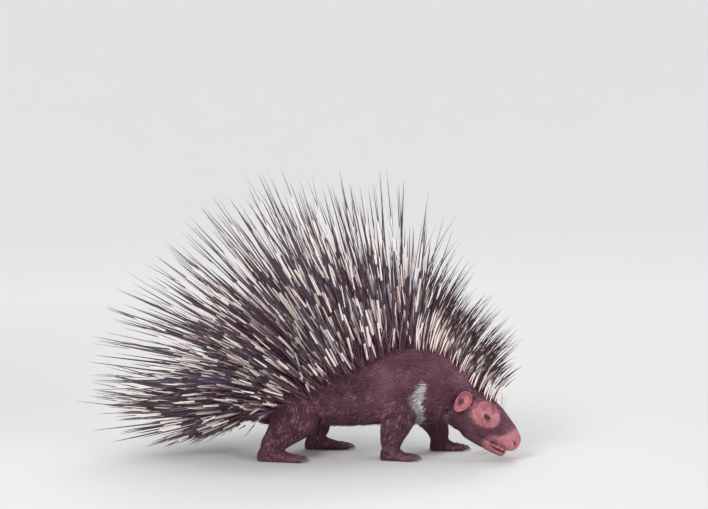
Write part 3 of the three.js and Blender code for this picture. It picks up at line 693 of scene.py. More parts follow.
toes = [limb(toe, 16, 20, grow=-FOOT_UNDER) for name in FEET for toe, _ in toe_rows(name)]
skin = make_piece("hide", *joined([form_of(body), form_of(head), *toes]))
for piece in (body, head):
    bpy.data.objects.remove(piece)
remeshed(skin, SKIN_CELL)
modified(skin, "SMOOTH", iterations=3)
print("fine surface", len(skin.data.polygons), "faces")

# %% [markdown]
# ## Nostrils, cleft and folds
#
# These are grooves in soft skin, not cuts. Each point near a groove's path is pushed in by a depth that
# falls off like a bell, and out a little beside it, as flesh does round a fold.

# %% Grooves and folds pressed into the face
NOSTRILS = [(10, 18, 15, 2.2), (4, 14, 11, 3.8), (-0.5, 8, 6, 3.6), (-2, 3, 2.5, 2.2)]
CLEFT = [(-2, 0, 3, 1.8), (1, 0, -4, 2.4), (7, 0, -13, 2.4)]
NOSTRIL_DEEP = 7.5
CLEFT_DEEP = 3.2
FOLDS = [  # back, left and above along each fold, its half width and its depth
    ([(58, 37, -14), (66, 37, -26), (72, 32, -38)], 3.6, 1.5),
    ([(46, 33, -6), (56, 38, -12), (60, 39, -20)], 3.0, 0.9),
    ([(30, 12, 34), (31, 0, 37), (30, -12, 34)], 3.0, 0.5),
    ([(38, 16, 36), (39, 0, 40), (38, -16, 36)], 3.4, 0.5),
    ([(104, 42, 20), (112, 44, 8), (114, 46, -6)], 4.0, 1.0),
]


def segment_distance(points, start, end):
    """How far points lie from a straight piece, and where along it from 0 to 1 the nearest place is."""
    way = end - start
    t = np.clip(((points - start) @ way) / (way @ way), 0, 1)
    return np.linalg.norm(points - start - t[:, None] * way, axis=1), t


def press(points, normals, path, width, depth):
    """Moves points in along their normals near a path: a bell of the distance, less a wider shallow
    one, which raises a soft edge beside the groove. Both may change along the path."""
    rows = np.array(path, float)
    best = np.full(len(points), 1e9)
    wide = np.full(len(points), 1.0)
    for n in range(len(rows) - 1):
        start, end = in_head(*rows[n, :3]), in_head(*rows[n + 1, :3])
        away, t = segment_distance(points, start, end)
        size = width if rows.shape[1] < 4 else rows[n, 3] + t * (rows[n + 1, 3] - rows[n, 3])
        closer = away < best
        wide = np.where(closer, size, wide)
        best = np.where(closer, away, best)
    share = best / wide
    pushed = depth * (np.exp(-(share**2)) - 0.3 * np.exp(-((share / 2.1) ** 2)))
    return points - normals * pushed[:, None]


points = points_of(skin.data)
for side in (1, -1):
    mirror = np.array([1, side, 1])
    path = [(*(np.array(row[:3]) * mirror), row[3]) for row in NOSTRILS]
    points = press(points, normals_of(skin.data), path, None, NOSTRIL_DEEP)
    for path, width, depth in FOLDS:
        goes_across = path[0][1] == -path[-1][1]
        if side < 0 and goes_across:
            continue
        path = [np.array(row) * mirror for row in path]
        points = press(points, normals_of(skin.data), path, width, depth)
points = press(points, normals_of(skin.data), CLEFT, None, CLEFT_DEEP)
points[:, 2] = np.maximum(points[:, 2], 0)
move_points(skin.data, points)

# %% Fewer faces on the trunk than on the face
back, aside, above = head_coordinates(points_of(skin.data))
on_face = smooth_step(150, 118, back) * (np.hypot(aside, above) < 90)
weigh(skin, "merge", 1 - on_face)
ratio = SKIN_FACES / 2 / len(skin.data.polygons)
modified(skin, "DECIMATE", ratio=ratio, vertex_group="merge", use_collapse_triangulate=True)
print("skin", len(skin.data.polygons), "faces after merging")

# %% [markdown]
# ## Ears and lids
#
# The ears are small round cups much like ours, with a rolled rim and a fold inside. An ear is too thin
# for the cells, so it is a loft of its own: out from the middle of the cup to the rim and back behind.
# The rims and folds of the lids are rings that lie on the eye's ball.

# %% Ears
EAR_BACK = 148
EAR_ROUND = np.radians(75)
EAR_WIDE = 20
EAR_HIGH = 26
EAR_DEEP = 11
EAR_THICK = 2.4
EAR_OUT = 12  # from the head's side to the middle of the cup
EAR_LIFT = 12


def hill(value, middle, width):
    """A bell: the exponential of minus the squared distance from its middle, over its width."""
    return np.exp(-(((value - middle) / width) ** 2))


def ear_frame(side):
    """Where an ear stands, the middle of its cup, the way that it faces, and its height and width."""
    place = head_place(EAR_BACK)
    out = outward(head_point, place, side * EAR_ROUND)
    base = head_point(place, side * EAR_ROUND)
    facing = unit(out * 0.72 + AHEAD * 0.69)
    high = unit(ABOVE - facing * (ABOVE @ facing))
    return base, out, base + out * EAR_OUT + high * EAR_LIFT, facing, high, np.cross(high, facing) * side


def fold_course(forward, up):
    """How far a place in the cup lies ahead of its fold, which follows a sine curve."""
    return forward - 0.02 - 0.26 * np.sin(4.2 * up + 0.6)


def fold_share(forward, up):
    """1 in the middle of the cup and 0 near its rim, where the fold runs out."""
    return smooth_step(0.78, 0.5, np.abs(up)) * smooth_step(0.82, 0.66, np.hypot(forward, up))


def ear_cup(side):
    """A bowl whose depth falls off as the square of the way to the rim, with a rolled rim, a groove
    inside it, a fold that follows a sine curve down the bowl, a knob before the ear's hole and a
    notch below it, and its back a little behind."""
    _, _, centre, facing, high, wide = ear_frame(side)

    def surface(share, angle):
        radial = np.where(share <= 0.5, 2 * share, 2 * (1 - share))
        front = share <= 0.5
        outline = 1 + 0.05 * np.cos(2 * angle + 1.9) - 0.045 * np.cos(3 * angle + 0.4)
        bowl = EAR_DEEP * (1 - radial**2)
        rim = 2.6 * hill(radial, 0.93, 0.08) - 1.5 * hill(radial, 0.76, 0.08)
        forward, up = radial * np.cos(angle), radial * np.sin(angle)
        course = fold_course(forward, up)
        fold = (4.2 * hill(course, 0, 0.12) - 2.0 * hill(course, 0.24, 0.12)) * fold_share(forward, up)
        fold = fold + 3.4 * hill(forward, 0.62, 0.2) * hill(up, -0.3, 0.24)
        notch = -3.0 * hill(radial, 0.92, 0.2) * hill(np.cos(angle - np.radians(-62)), 1, 0.05)
        behind = -EAR_THICK * np.sqrt(np.clip(1.02 - radial**2, 0, 1)) - 0.3
        depth = np.where(front, rim + fold + notch, behind)
        across = wide * (EAR_WIDE * radial * outline * np.cos(angle))[..., None]
        upwards = high * (EAR_HIGH * radial * outline * np.sin(angle))[..., None]
        return centre + across + upwards + facing * (depth - bowl)[..., None]

    return loft(surface, 65, 72)


def ear_root(side):
    """A short limb from inside the head to the back of the cup."""
    base, out, centre, facing, _, _ = ear_frame(side)
    inside, behind = base - out * 6, centre - facing * (EAR_DEEP + 4)
    tip = centre - facing * (EAR_DEEP + 1.4)
    return limb(np.array([(*inside, 12.5), (*behind, 7.5), (*tip, 3)]), 12, 32, level=ABOVE)


def ring_form(path, thick, sides=10):
    """A closed ring of round section along a closed path of points."""
    ahead = unit(np.roll(path, -1, axis=0) - np.roll(path, 1, axis=0))
    inwards = unit(path.mean(axis=0) - path)
    other = np.cross(ahead, inwards)
    angle = np.arange(sides) * 2 * np.pi / sides
    ring = inwards[:, None] * np.cos(angle)[:, None] + other[:, None] * np.sin(angle)[:, None]
    points = path[:, None] + ring * thick[:, None, None]
    place, side = np.meshgrid(np.arange(len(path)), np.arange(sides), indexing="ij")
    after, beside = (place + 1) % len(path), (side + 1) % sides
    a, b = place * sides + side, place * sides + beside
    c, d = after * sides + beside, after * sides + side
    triangles = np.concatenate([np.stack([a, b, c], -1), np.stack([a, c, d], -1)]).reshape(-1, 3)
    return facing_out(points.reshape(-1, 3), triangles)


def lid_ring(side, grow, rise, thick):
    """A ring round the almond, on a ball a little larger than the eye."""
    centre, along, up, out = eye_frame(side)
    angle = np.linspace(0, 2 * np.pi, 72, endpoint=False) + 0.02
    u, v = almond(angle, grow)
    v = np.where(v < 0, v * 0.92, v)
    radius = EYE_RADIUS + GAP + rise
    deep = np.sqrt(np.maximum(radius**2 - u**2 - v**2, 4))
    path = centre + along * u[:, None] + up * v[:, None] + out * deep[:, None]
    return ring_form(path, thick * (0.75 + 0.25 * np.abs(np.sin(angle))))


LID_RINGS = [(0.35, 1.1, 1.0), (2.0, LID - 0.5, 0.9), (3.9, LID - 0.6, 0.9)]  # edge, fold and outer fold
for side in SIDES.values():
    combine(skin, ear_root(side), "UNION")
    combine(skin, ear_cup(side), "UNION")
    for grow, rise, thick in LID_RINGS:
        combine(skin, lid_ring(side, grow, rise, thick), "UNION")
print("skin with ears and lids", len(skin.data.polygons), "faces")

# %% [markdown]
# ## Where the parts are, and how the hair lies
#
# Hair grows in streams: back from the nose, over the shoulders to the rump, down the legs and forward
# over the toes. A comb in Blender sets that by hand, but it can't be exported. Here each part has a way
# of its own, and every point of the skin mixes them by how near it lies to each part's middle line.

# %% Nearness to the parts and the lie of the hair
def chain_distance(points, path):
    """The least distance from points to a chain of straight pieces, less the radius there."""
    best = np.full(len(points), 1e9)
    for start, end in zip(path[:-1], path[1:]):
        away, t = segment_distance(points, start[:3], end[:3])
        best = np.minimum(best, away - (start[3] + t * (end[3] - start[3])))
    return best


def chains():
    """Each part's middle line with its radius, in millimetres."""
    *middle, wide, up, down = TRUNK[1:].T
    yield "trunk", np.column_stack([*middle, (wide * 2 + up + down) / 4])
    back, wide, up, down = HEAD[1:].T
    yield "head", np.column_stack([in_head(back, 0, (up - down) / 2), (wide * 2 + up + down) / 4])
    for name, rows in LEGS.items():
        yield name, rows
        ends = [foot_place(name, share * FEET[name][2], 0, 8) for share in (0.15, 1.2)]
        yield name.replace("leg", "foot"), np.array([(*ends[0], 14), (*ends[1], 12)])
    yield "tail", TAIL


BLEND = 5  # over which one part's hair turns into the next one's


def nearness(points):
    """For each part a share from 0 to 1, all together 1, that falls off over a few millimetres."""
    names, paths = zip(*chains())
    away = np.stack([chain_distance(points, path) for path in paths], 1)
    weight = np.exp(-(away - away.min(axis=1, keepdims=True)) / BLEND)
    return names, weight / weight.sum(axis=1, keepdims=True)


def share_of(names, weight, wanted):
    """The shares of all parts whose name holds a word."""
    return weight[:, [wanted in name for name in names]].sum(axis=1)


HAIR_WAYS = {
    "trunk": np.array([-1, 0, -0.16]),
    "head": -AHEAD + np.array([0, 0, -0.1]),
    "leg": np.array([-0.4, 0, -1]),
    "foot": np.array([1, 0, -0.4]),
    "tail": np.array([-1, 0, -0.3]),
}


def lie_of_hair(normals, names, weight):
    """The unit way of the hair in the skin's plane: each part's way by its share, less what points out."""
    way = sum(share_of(names, weight, name)[:, None] * value for name, value in HAIR_WAYS.items())
    return unit(way - normals * (way * normals).sum(axis=1, keepdims=True))


def ripple(points, size, seed):
    """Soft waves from about -1 to 1: sines along five random ways, with a wave length of about size."""
    draw = np.random.default_rng(seed)
    ways = unit(draw.normal(size=(5, 3))) * (2 * np.pi / (size * draw.uniform(0.7, 1.4, 5)))[:, None]
    return np.sin(points @ ways.T + draw.uniform(0, 6.3, 5)).sum(axis=1) / 2.6


# %% [markdown]
# ## Markings
#
# The animal is a dark plum brown. A white crescent stands before each shoulder and meets under the
# throat, and the muzzle, the rims of the eyes and the ears are dusky pink, thinly haired skin. The
# markings are worked out once for any point, so that skin and hair always agree.

# %% Markings of any point
COLLAR_AT = 84
COLLAR_HALF = 20
COLLAR_TOP = 182
COLLAR_FORWARD = 26  # how far its top reaches ahead of its middle
EYE_PATCH = 38, 29  # half its length and half its height
STROKES = [  # groups of paler bristles on either side: x and z of the middle, half length, half height
    (-225, 58, 34, 17),
    (-120, 124, 34, 13),
    (-40, 151, 42, 9),
    (55, 205, 34, 8),
    (3, 95, 36, 10),
]


def eye_ring(points):
    """1 on the thinly haired skin round each eye, an oval in the eye's own directions."""
    best = np.zeros(len(points))
    for side in SIDES.values():
        centre, along, up, out = eye_frame(side)
        away = points - centre
        oval = np.hypot((away @ along + 4) / EYE_PATCH[0], (away @ up - 1) / EYE_PATCH[1])
        best = np.maximum(best, smooth_step(1.12, 0.82, oval) * (away @ out > -26))
    return best


def in_ear(points, side):
    """Places in an ear's own directions: forward and up as shares of half the cup's size, and how far
    they lie over its middle."""
    _, _, centre, facing, high, wide = ear_frame(side)
    away = points - centre
    return away @ wide / EAR_WIDE, away @ high / EAR_HIGH, away @ facing


def over_bowl(points, side):
    """The distance from the cup's middle as a share of its size, and the height over its bowl."""
    forward, up, deep = in_ear(points, side)
    oval = np.hypot(forward, up)
    return oval, deep + EAR_DEEP * (1 - oval**2), deep


def ear_share(points):
    """1 on the ears: inside the rim, and no deeper than the back of the bowl."""
    best = np.zeros(len(points))
    for side in SIDES.values():
        oval, over, deep = over_bowl(points, side)
        on_ear = smooth_step(1.16, 1.04, oval) * smooth_step(-2.5, -0.5, over + EAR_THICK) * (deep < 8)
        best = np.maximum(best, on_ear)
    return best


def under_ear(points, wider, deeper):
    """1 where places lie in an ear's bowl or no more than so deep under it. Both may be set wider."""
    covered = np.zeros(len(points))
    for side in SIDES.values():
        oval, over, _ = over_bowl(points, side)
        covered = np.maximum(covered, (oval < wider) * (over > -deeper) * (over < 20))
    return covered


def marks_of(points, names, weight):
    """Four numbers a point: white collar, bare pink skin, darkness of the feet, and lighter strokes.
    Each is an S curve of the distance from the marking's edge, which soft waves make uneven."""
    x, y, z = points.T
    back, _, above = head_coordinates(points)
    limbs = share_of(names, weight, "leg") + share_of(names, weight, "foot")
    ahead = COLLAR_FORWARD * (np.clip(z - 118, 0, None) / 60) ** 2 + 44 * smooth_step(-30, 40, y)
    half = COLLAR_HALF * np.clip((COLLAR_TOP - z) / 70, 0, 1) ** 0.6
    away = np.abs(x - COLLAR_AT - ahead - 2 * ripple(points, 26, 4))
    collar = smooth_step(1.1, 0.9, away / np.maximum(half, 0.1)) * (z < COLLAR_TOP)
    collar = collar * smooth_step(0.75, 0.3, limbs)
    edge = 27 + 38 * smooth_step(24, -14, above) + 2.0 * ripple(points, 16, 5)
    muzzle = smooth_step(edge + 7, edge - 7, back) * (share_of(names, weight, "head") > 0.5)
    bare = np.maximum.reduce([muzzle, eye_ring(points), ear_share(points)])
    dark = smooth_step(95, 20, z) * limbs
    patches = ripple(points * [0.55, 1, 1.5], 52, 6)
    light = 0.25 * smooth_step(0.15, 0.75, patches) * (1 - limbs * 0.5)
    for middle_x, middle_z, half_long, half_high in STROKES:
        oval = np.hypot((x - middle_x) / half_long, (z - middle_z) / half_high)
        light = np.maximum(light, smooth_step(1.15, 0.6, oval))
    return np.stack([collar, bare, dark, light], 1)


def path_distance(points, path, side):
    """The least distance from points to a path of the head's tables, on one side of it."""
    places = [in_head(row[0], row[1] * side, row[2]) for row in path]
    pieces = zip(places[:-1], places[1:])
    return np.min([segment_distance(points, start, end)[0] for start, end in pieces], axis=0)


def ear_shadow(points, side):
    """Dark at the ear's hole, and less so along the hollow ahead of its fold."""
    forward, up, deep = in_ear(points, side)
    hole = 0.8 * smooth_step(0.42, 0.1, np.hypot(forward + 0.1, up + 0.12))
    fold = 0.62 * hill(fold_course(forward, up), 0.25, 0.1) * fold_share(forward, up)
    return np.maximum(hole, fold) * (deep > -EAR_DEEP) * (deep < 4)


def lid_shadow(points, side):
    """Dark on the edge of the lids, a ring round the almond."""
    centre, along, up, out = eye_frame(side)
    away = points - centre
    rim = np.hypot(away @ along / EYE_OPEN_LONG, away @ up / (EYE_OPEN_HIGH + 0.8))
    return 0.72 * smooth_step(1.42, 1.12, rim) * (away @ out > 0)


def mouth_shadow(points):
    """1 inside the wedge between the lips, apart from the lips themselves."""
    back, _, above = head_coordinates(points)
    open_share = np.clip((MOUTH_CORNER - back) / (MOUTH_CORNER + 20), 0, 1)
    upper = MOUTH_CORNER_ABOVE + (MOUTH_UPPER - MOUTH_CORNER_ABOVE) * open_share + 2
    lower = MOUTH_CORNER_ABOVE + (MOUTH_LOWER - MOUTH_CORNER_ABOVE) * open_share - 2
    courses = [(course, side) for course in (UPPER_LIP, LOWER_LIP) for side in SIDES.values()]
    from_lips = np.min([path_distance(points, course, side) for course, side in courses], axis=0)
    inside = (above < upper) * (above > lower) * (back < MOUTH_CORNER - 4)
    return inside * smooth_step(4.4, 6.0, from_lips)


def hollow_shading(points):
    """Painted shade: how dark each point is painted in a nostril, the mouth or an ear, or on a lid's edge.
    """
    darkest = mouth_shadow(points)
    for side in SIDES.values():
        nostril = smooth_step(4.2, 1.5, path_distance(points, NOSTRILS, side))
        darkest = np.maximum.reduce([darkest, nostril, ear_shadow(points, side), lid_shadow(points, side)])
    return darkest


points, triangles = form_of(skin)
normals = normals_of(skin.data)
names, weight = nearness(points)
marks = marks_of(points, names, weight)
lie = lie_of_hair(normals, names, weight)
skin_box = points.min(axis=0), points.max(axis=0)
bpy.data.objects.remove(skin)
# The hollow attribute is painted shade: nostrils, mouth, ear holes and lid edges are darkened on the skin.
skin_data = {"marks": marks, "lie": lie, "hollow": hollow_shading(points)}
skin = make_piece("skin", points, triangles, skin_data)
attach(skin, "root")
flesh = ["head", "neck", "shoulders", "torso", "rump", "tail", "ear_left", "ear_right", *LEGS]
flesh += [name.replace("leg", "foot") for name in LEGS]
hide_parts(*flesh)
print("skin", len(triangles), "triangles")

# %% [markdown]
# ## The coat of bristles
#
# Particle hair would be quick to comb, but it is lost when the model leaves Blender. Each tuft is a
# solid blade instead, with three sides and ten faces: it rises out of the skin, lies along the stream
# of the hair, and lies over the roots behind it. One function makes a whole region at once.

# %% Sowing roots and growing blades
def sow(count, density, draw):
    """Roots spread over the skin: triangles drawn by their area times the density of their corners, and
    a random place in each. Gives the corners and their shares."""
    corners = points[triangles]
    area = np.linalg.norm(np.cross(corners[:, 1] - corners[:, 0], corners[:, 2] - corners[:, 0]), axis=1)
    wanted = area * density[triangles].mean(axis=1)
    chosen = np.searchsorted(np.cumsum(wanted) / wanted.sum(), draw.random(count))
    u, v = draw.random((2, count))
    turned = u + v > 1
    u, v = np.where(turned, 1 - u, u), np.where(turned, 1 - v, v)
    return triangles[np.minimum(chosen, len(triangles) - 1)], np.stack([1 - u - v, u, v], 1)


def at_roots(values, corners, shares):
    """Values of the skin's points at the roots."""
    if values.ndim == 1:
        return (values[corners] * shares).sum(axis=1)
    return (values[corners] * shares[..., None]).sum(axis=1)


def cells_of(roots):
    """A map place for each root: the roots are ranked up the body into rows, and along it within each
    row, so that neighbours on the skin stay neighbours and no two share a place."""
    side = int(np.ceil(np.sqrt(len(roots))))
    round_body = np.arctan2(roots[:, 1], roots[:, 2] - 110)
    row = np.empty(len(roots), int)
    row[np.argsort(round_body, kind="stable")] = np.arange(len(roots)) // side
    order = np.lexsort((roots[:, 0], row))
    column = np.empty(len(roots), int)
    column[order] = np.arange(len(roots)) - np.searchsorted(row[order], row[order])
    return (np.stack([column, row], 1) + 0.5) / side


PATCH = 0.003  # size on the bake map of one tuft
TUFT_POINTS = 7
TUFT_FACES = np.array(  # the foot, three sides of two triangles each and three up to the tip
    [(0, 2, 1), (3, 6, 4), (4, 6, 5), (5, 6, 3)]
    + [face for a, b in ((0, 1), (1, 2), (2, 0)) for face in ((a, b, b + 3), (a, b + 3, a + 3))]
)
TUFT_MAP = np.array([(-1, -1), (1, -1), (0, -1), (-1, 0), (1, 0), (0, 0), (0, 1)]) * PATCH / 2
TUFT_SHARES = [0, 0, 0, 0.5, 0.5, 0.5, 1.0]
LEAST_HEIGHT = 0.3  # over the floor


def blades(roots, way, out, long, wide, rise):
    """Flat three-sided blades: the middle line goes along the way by its length and out by the rise,
    steeply at first and then less, so that each tip lies over the roots behind it. The width narrows
    to a point. Gives points, triangles, map places and the share along each blade at every point."""
    across = unit(np.cross(way, out))

    def middle(share):
        up = rise * (1 - (1 - share) ** 1.7) - 0.6 * (share == 0)
        return roots + way * (long * share)[:, None] + out * up[:, None]

    rings = []
    for share, narrower in ((0.0, 1.0), (0.5, 0.8)):
        centre = middle(share)
        half = across * (wide * narrower / 2)[:, None]
        top = out * (wide * 0.34 * narrower)[:, None]
        rings += [centre - half, centre + half, centre + top]
    made = np.stack([*rings, middle(1.0)], axis=1)
    made[..., 2] = np.maximum(made[..., 2], LEAST_HEIGHT)
    faces = TUFT_FACES[None] + TUFT_POINTS * np.arange(len(roots))[:, None, None]
    places = cells_of(roots)[:, None] + TUFT_MAP[None]
    along = np.tile(TUFT_SHARES, len(roots))
    return made.reshape(-1, 3), faces.reshape(-1, 3), places.reshape(-1, 2), along


CELL = 5.0  # mm, of the grid in which the skin's height is looked up


def cell_keys(places):
    """A whole number for the cube of the grid that each place lies in."""
    x, y, z = np.floor((places - skin_box[0]) / CELL).astype(np.int64).T + 64
    return (x * 2048 + y) * 2048 + z


filled, cell_of_point = np.unique(cell_keys(points), return_inverse=True)
in_cell = np.bincount(cell_of_point)[:, None]
cell_point = np.stack([np.bincount(cell_of_point, axis) for axis in points.T], 1) / in_cell
cell_normal = np.stack([np.bincount(cell_of_point, axis) for axis in normals.T], 1) / in_cell
cell_flat = np.linalg.norm(cell_normal, axis=1)


def over_skin(places):
    """How high places lie over the plane of the skin in their cube, and a large number where none is."""
    keys = cell_keys(places)
    cell = np.minimum(np.searchsorted(filled, keys), len(filled) - 1)
    known = (filled[cell] == keys) & (cell_flat[cell] > 0.75)
    height = ((places - cell_point[cell]) * cell_normal[cell]).sum(axis=1) / cell_flat[cell]
    return np.where(known, height, 1e3)


def lifted(roots, way, out, long, lift):
    """Raises tips and middles out of the skin again, where it curves up ahead of the root, but not by
    the ears, whose backs would count as skin."""
    by_ear = under_ear(roots, 1.4, 18)
    for share in (1.0, 0.5):
        height = over_skin(roots + way * (long * share)[:, None] + out * (lift * share)[:, None])
        lift = lift + np.clip(lift * share * 0.7 + 0.4 - height, 0, 6) / share**0.5 * (1 - by_ear)
    return lift


def short_of_ears(roots, way, out, long, lift):
    """Shortens to a stub what would come through the bowl of an ear."""
    whole = way * long[:, None] + out * lift[:, None]
    through = np.maximum(*(under_ear(roots + whole * share, 1.02, 4.5) for share in (1.0, 0.5)))
    return long * (1 - 0.88 * through)


def grow_coat(name, count, density, sizes, seed):
    """One region of the coat. Sizes gives length, width, rise and looseness at every point of the skin."""
    draw = np.random.default_rng(seed)
    corners, shares = sow(count + count // 20, density, draw)
    open_places = np.flatnonzero(under_ear(at_roots(points, corners, shares), 1.0, 9) == 0)[:count]
    corners, shares = corners[open_places], shares[open_places]
    count = len(open_places)
    roots = at_roots(points, corners, shares)
    out = unit(at_roots(normals, corners, shares))
    way = at_roots(lie, corners, shares)
    across = np.cross(way, out)
    long, wide, rise, loose = (at_roots(value, corners, shares) for value in sizes)
    root_marks = at_roots(marks, corners, shares)
    long = long * draw.uniform(0.68, 1.15, count) * (1 + 0.18 * root_marks[:, 0])
    sway = 0.26 * ripple(roots, 34, 3) + 0.16 * ripple(roots, 13, 9) + loose * draw.normal(0, 1, count)
    way = unit(way * np.cos(sway)[:, None] + across * np.sin(sway)[:, None])
    lift = np.maximum(rise * (1 + 0.35 * draw.normal(0, 1, count)) * long, 0.2)
    tip = roots + way * long[:, None]
    covered = np.maximum(under_ear(tip, 1.08, 7), under_ear((roots + tip) / 2, 1.08, 7))
    long = long * (1 - 0.6 * covered)
    lift = lifted(roots, way, out, long, lift)
    long = short_of_ears(roots, way, out, long, lift)
    made, faces, places, along = blades(roots, way, out, long, wide, lift)
    chances = np.repeat(draw.random((2, count)), TUFT_POINTS, axis=1)
    data = {
        "marks": np.repeat(root_marks, TUFT_POINTS, axis=0),
        "hair": np.stack([along, *chances], 1),
    }
    piece = make_piece(name, made, faces, data, places)
    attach(piece, "root")
    print(name, count, "tufts", len(faces), "triangles")
    return piece


# %% [markdown]
# ## How long the coat is, and where
#
# The bristles are longest on the flanks and rump, short on the legs, and only a few millimetres long on
# the face and feet. The nose, the lips and the skin round the eyes are almost bare.

# %% The coat's sizes over the skin
head_share, leg_share, foot_share = (share_of(names, weight, part) for part in ("head", "leg", "foot"))
trunk_share, tail_share = (share_of(names, weight, part) for part in ("trunk", "tail"))
back, aside, above = head_coordinates(points)
x, y, z = points.T
height_share = smooth_step(20, 110, z)
on_head = smooth_step(6, 150, back)
coat_long = (  # shorter on the belly, and ever longer from the nose back
    trunk_share * (30 - 5 * smooth_step(100, 60, z))
    + head_share * (3.4 + 21 * on_head**1.6)
    + leg_share * (7.5 + 17 * height_share)
    + foot_share * 5.5
    + tail_share * 26
)
bare = marks[:, 1]
coat_long = coat_long * (1 - 0.58 * bare)
coat_wide = (0.5 + 0.052 * coat_long) * (1 - 0.38 * bare)
hanging = trunk_share * smooth_step(-0.3, -0.9, normals[:, 2])
coat_rise = 0.05 + 0.05 * trunk_share + 0.03 * head_share * on_head + 0.14 * hanging
coat_loose = 0.10 + 0.08 * trunk_share + 0.2 * hanging
coat_sizes = (coat_long, coat_wide, coat_rise, coat_loose)

inside_mouth = (back < MOUTH_CORNER + 2) * (above < MOUTH_UPPER + 3) * (above > MOUTH_LOWER - 3)
hairy = (1 - 0.97 * inside_mouth) * (1 - 0.6 * bare) * (1 - 0.4 * eye_ring(points))
for side in SIDES.values():
    from_eye = np.linalg.norm(points - eye_frame(side)[0], axis=1)
    hairy = hairy * smooth_step(10.5, 13.5, from_eye)
hairy = hairy * smooth_step(1.0, 3.0, z) * smooth_step(0.45, 0.15, skin_data["hollow"])
hairy = hairy * (1 - 0.85 * smooth_step(7, 0, back) * head_share)
hairy = hairy * (1 - ear_share(points)) * (1 - under_ear(points, 0.94, 8))
thick = hairy * np.clip(24 / coat_long, 0.8, 4.5) ** 1.25

on_trunk = trunk_share + tail_share
face = head_share * smooth_step(160, 140, back)
neck = np.clip(head_share - face, 0, 1) + on_trunk * smooth_step(60, 80, x)
REGIONS = {  # the share of the skin that each piece covers, and how many tufts
    "coat_face": (face, 19_500),
    "coat_neck": (neck, 19_000),
    "coat_right": (on_trunk * smooth_step(80, 60, x) * (y < 0), 19_000),
    "coat_left": (on_trunk * smooth_step(80, 60, x) * (y >= 0), 19_000),
    "coat_forelegs": ((leg_share + foot_share) * (x > -60), 19_000),
    "coat_hindlegs": ((leg_share + foot_share) * (x <= -60), 19_500),
}
coat = {}
for seed, (name, (region, count)) in enumerate(REGIONS.items(), start=101):
    coat[name] = grow_coat(name, count, region * thick, coat_sizes, seed)

# %% [markdown]
# ## The quills
#
# A quill is a hollow spine, thickest a little above its root and drawn out to a needle. Thousands of
# lofts with their own curves would be slow, so one function bends and places them all: a ring of six
# points at each of a few shares of the length. Where they stand, how they lean and how long they are
# come from the solids' own table, so that the fan keeps its outline.

# %% The table of the fan
COAT = np.array(  # x of the root, lean from straight ahead, longest, degrees round the back
    [
        (-318, 183, 400, 128),
        (-290, 166, 402, 118),
        (-230, 145, 415, 100),
        (-170, 129, 436, 90),
        (-110, 117, 446, 80),
        (-50, 108, 420, 68),
        (0, 101, 410, 54),
        (50, 92, 400, 36),
        (90, 80, 270, 25),
        (140, 70, 185, 19),
        (220, 60, 155, 16),
    ],
    float,
)
ASIDE = 0.6  # of the angle round the back, by which a quill tips to the side
CREST_FROM = 100  # x of the root from which quills turn into crest bristles
FLOOR_ROOM = 11
BOX_SPARE = 4


def along_coat(column, x):
    """A column of the table at a root's x, straight between its rows."""
    return np.interp(x, COAT[:, 0], COAT[:, column])


def scattered(candidates, apart):
    """Keeps each candidate that lies at least its own distance from all those kept before it."""
    kept = np.empty_like(candidates)
    chosen = []
    for n, candidate in enumerate(candidates):
        away = kept[: len(chosen)] - candidate
        if (np.einsum("ij,ij->i", away, away) < apart[n] ** 2).any():
            continue
        kept[len(chosen)] = candidate
        chosen.append(n)
    return np.array(chosen)


def spines(roots, way, long, radius, bend_way, bend, profile, sides):
    """Tapered spines: the middle line goes along the way and off by the bend times the share squared.
    Each ring stands square to it, as wide as the profile says, and the last is drawn to a point."""
    shares, widths = np.array(profile).T
    count, rings = len(roots), len(shares)
    lean = way[:, None] + 2 * (bend_way * bend[:, None])[:, None] * shares[None, :, None]
    middle = roots[:, None] + (way * long[:, None])[:, None] * shares[None, :, None]
    middle = middle + (bend_way * (bend * long)[:, None])[:, None] * (shares**2)[None, :, None]
    side = unit(np.cross(lean, np.where(np.abs(way[:, None, 2:]) > 0.9, FORWARD, UP)))
    other = unit(np.cross(side, lean))
    angle = np.arange(sides) * 2 * np.pi / sides
    size = (radius[:, None] * widths[None, :])[..., None, None]
    ring = side[:, :, None] * np.cos(angle)[:, None] + other[:, :, None] * np.sin(angle)[:, None]
    made = (middle[:, :, None] + ring * size).reshape(count, rings * sides, 3)
    tip = middle[:, -1] + unit(lean[:, -1]) * (radius * widths[-1] * 3)[:, None]
    made = np.concatenate([made, middle[:, :1] - way[:, None] * 2, tip[:, None]], axis=1)
    faces = loft_triangles(rings, sides)
    a, b, c = (made[0][faces[:, n]] - made[0][0] for n in range(3))
    if (a * np.cross(b, c)).sum() < 0:
        faces = faces[:, ::-1]
    each = rings * sides + 2
    faces = faces[None] + each * np.arange(count)[:, None, None]
    share = np.concatenate([np.repeat(shares, sides), [0.0, 1.0]])
    turn = np.concatenate([np.tile(np.arange(sides) / sides, rings), [0.5, 0.5]])
    return made.reshape(-1, 3), faces.reshape(-1, 3), share, turn


STRIP_WIDE = 0.003
STRIP_LONG = 0.8  # of a cell of the bake map


def strips_of(count, share, turn):
    """Map places for spines: each has an upright strip of its own, root at the foot and tip at the head,
    so that its bands are baked too."""
    side = int(np.ceil(np.sqrt(count)))
    cell = np.stack([np.arange(count) % side, np.arange(count) // side], 1) / side
    local = np.stack([0.5 / side + (turn - 0.5) * STRIP_WIDE, (0.1 + STRIP_LONG * share) / side], 1)
    return (cell[:, None] + local[None]).reshape(-1, 2)


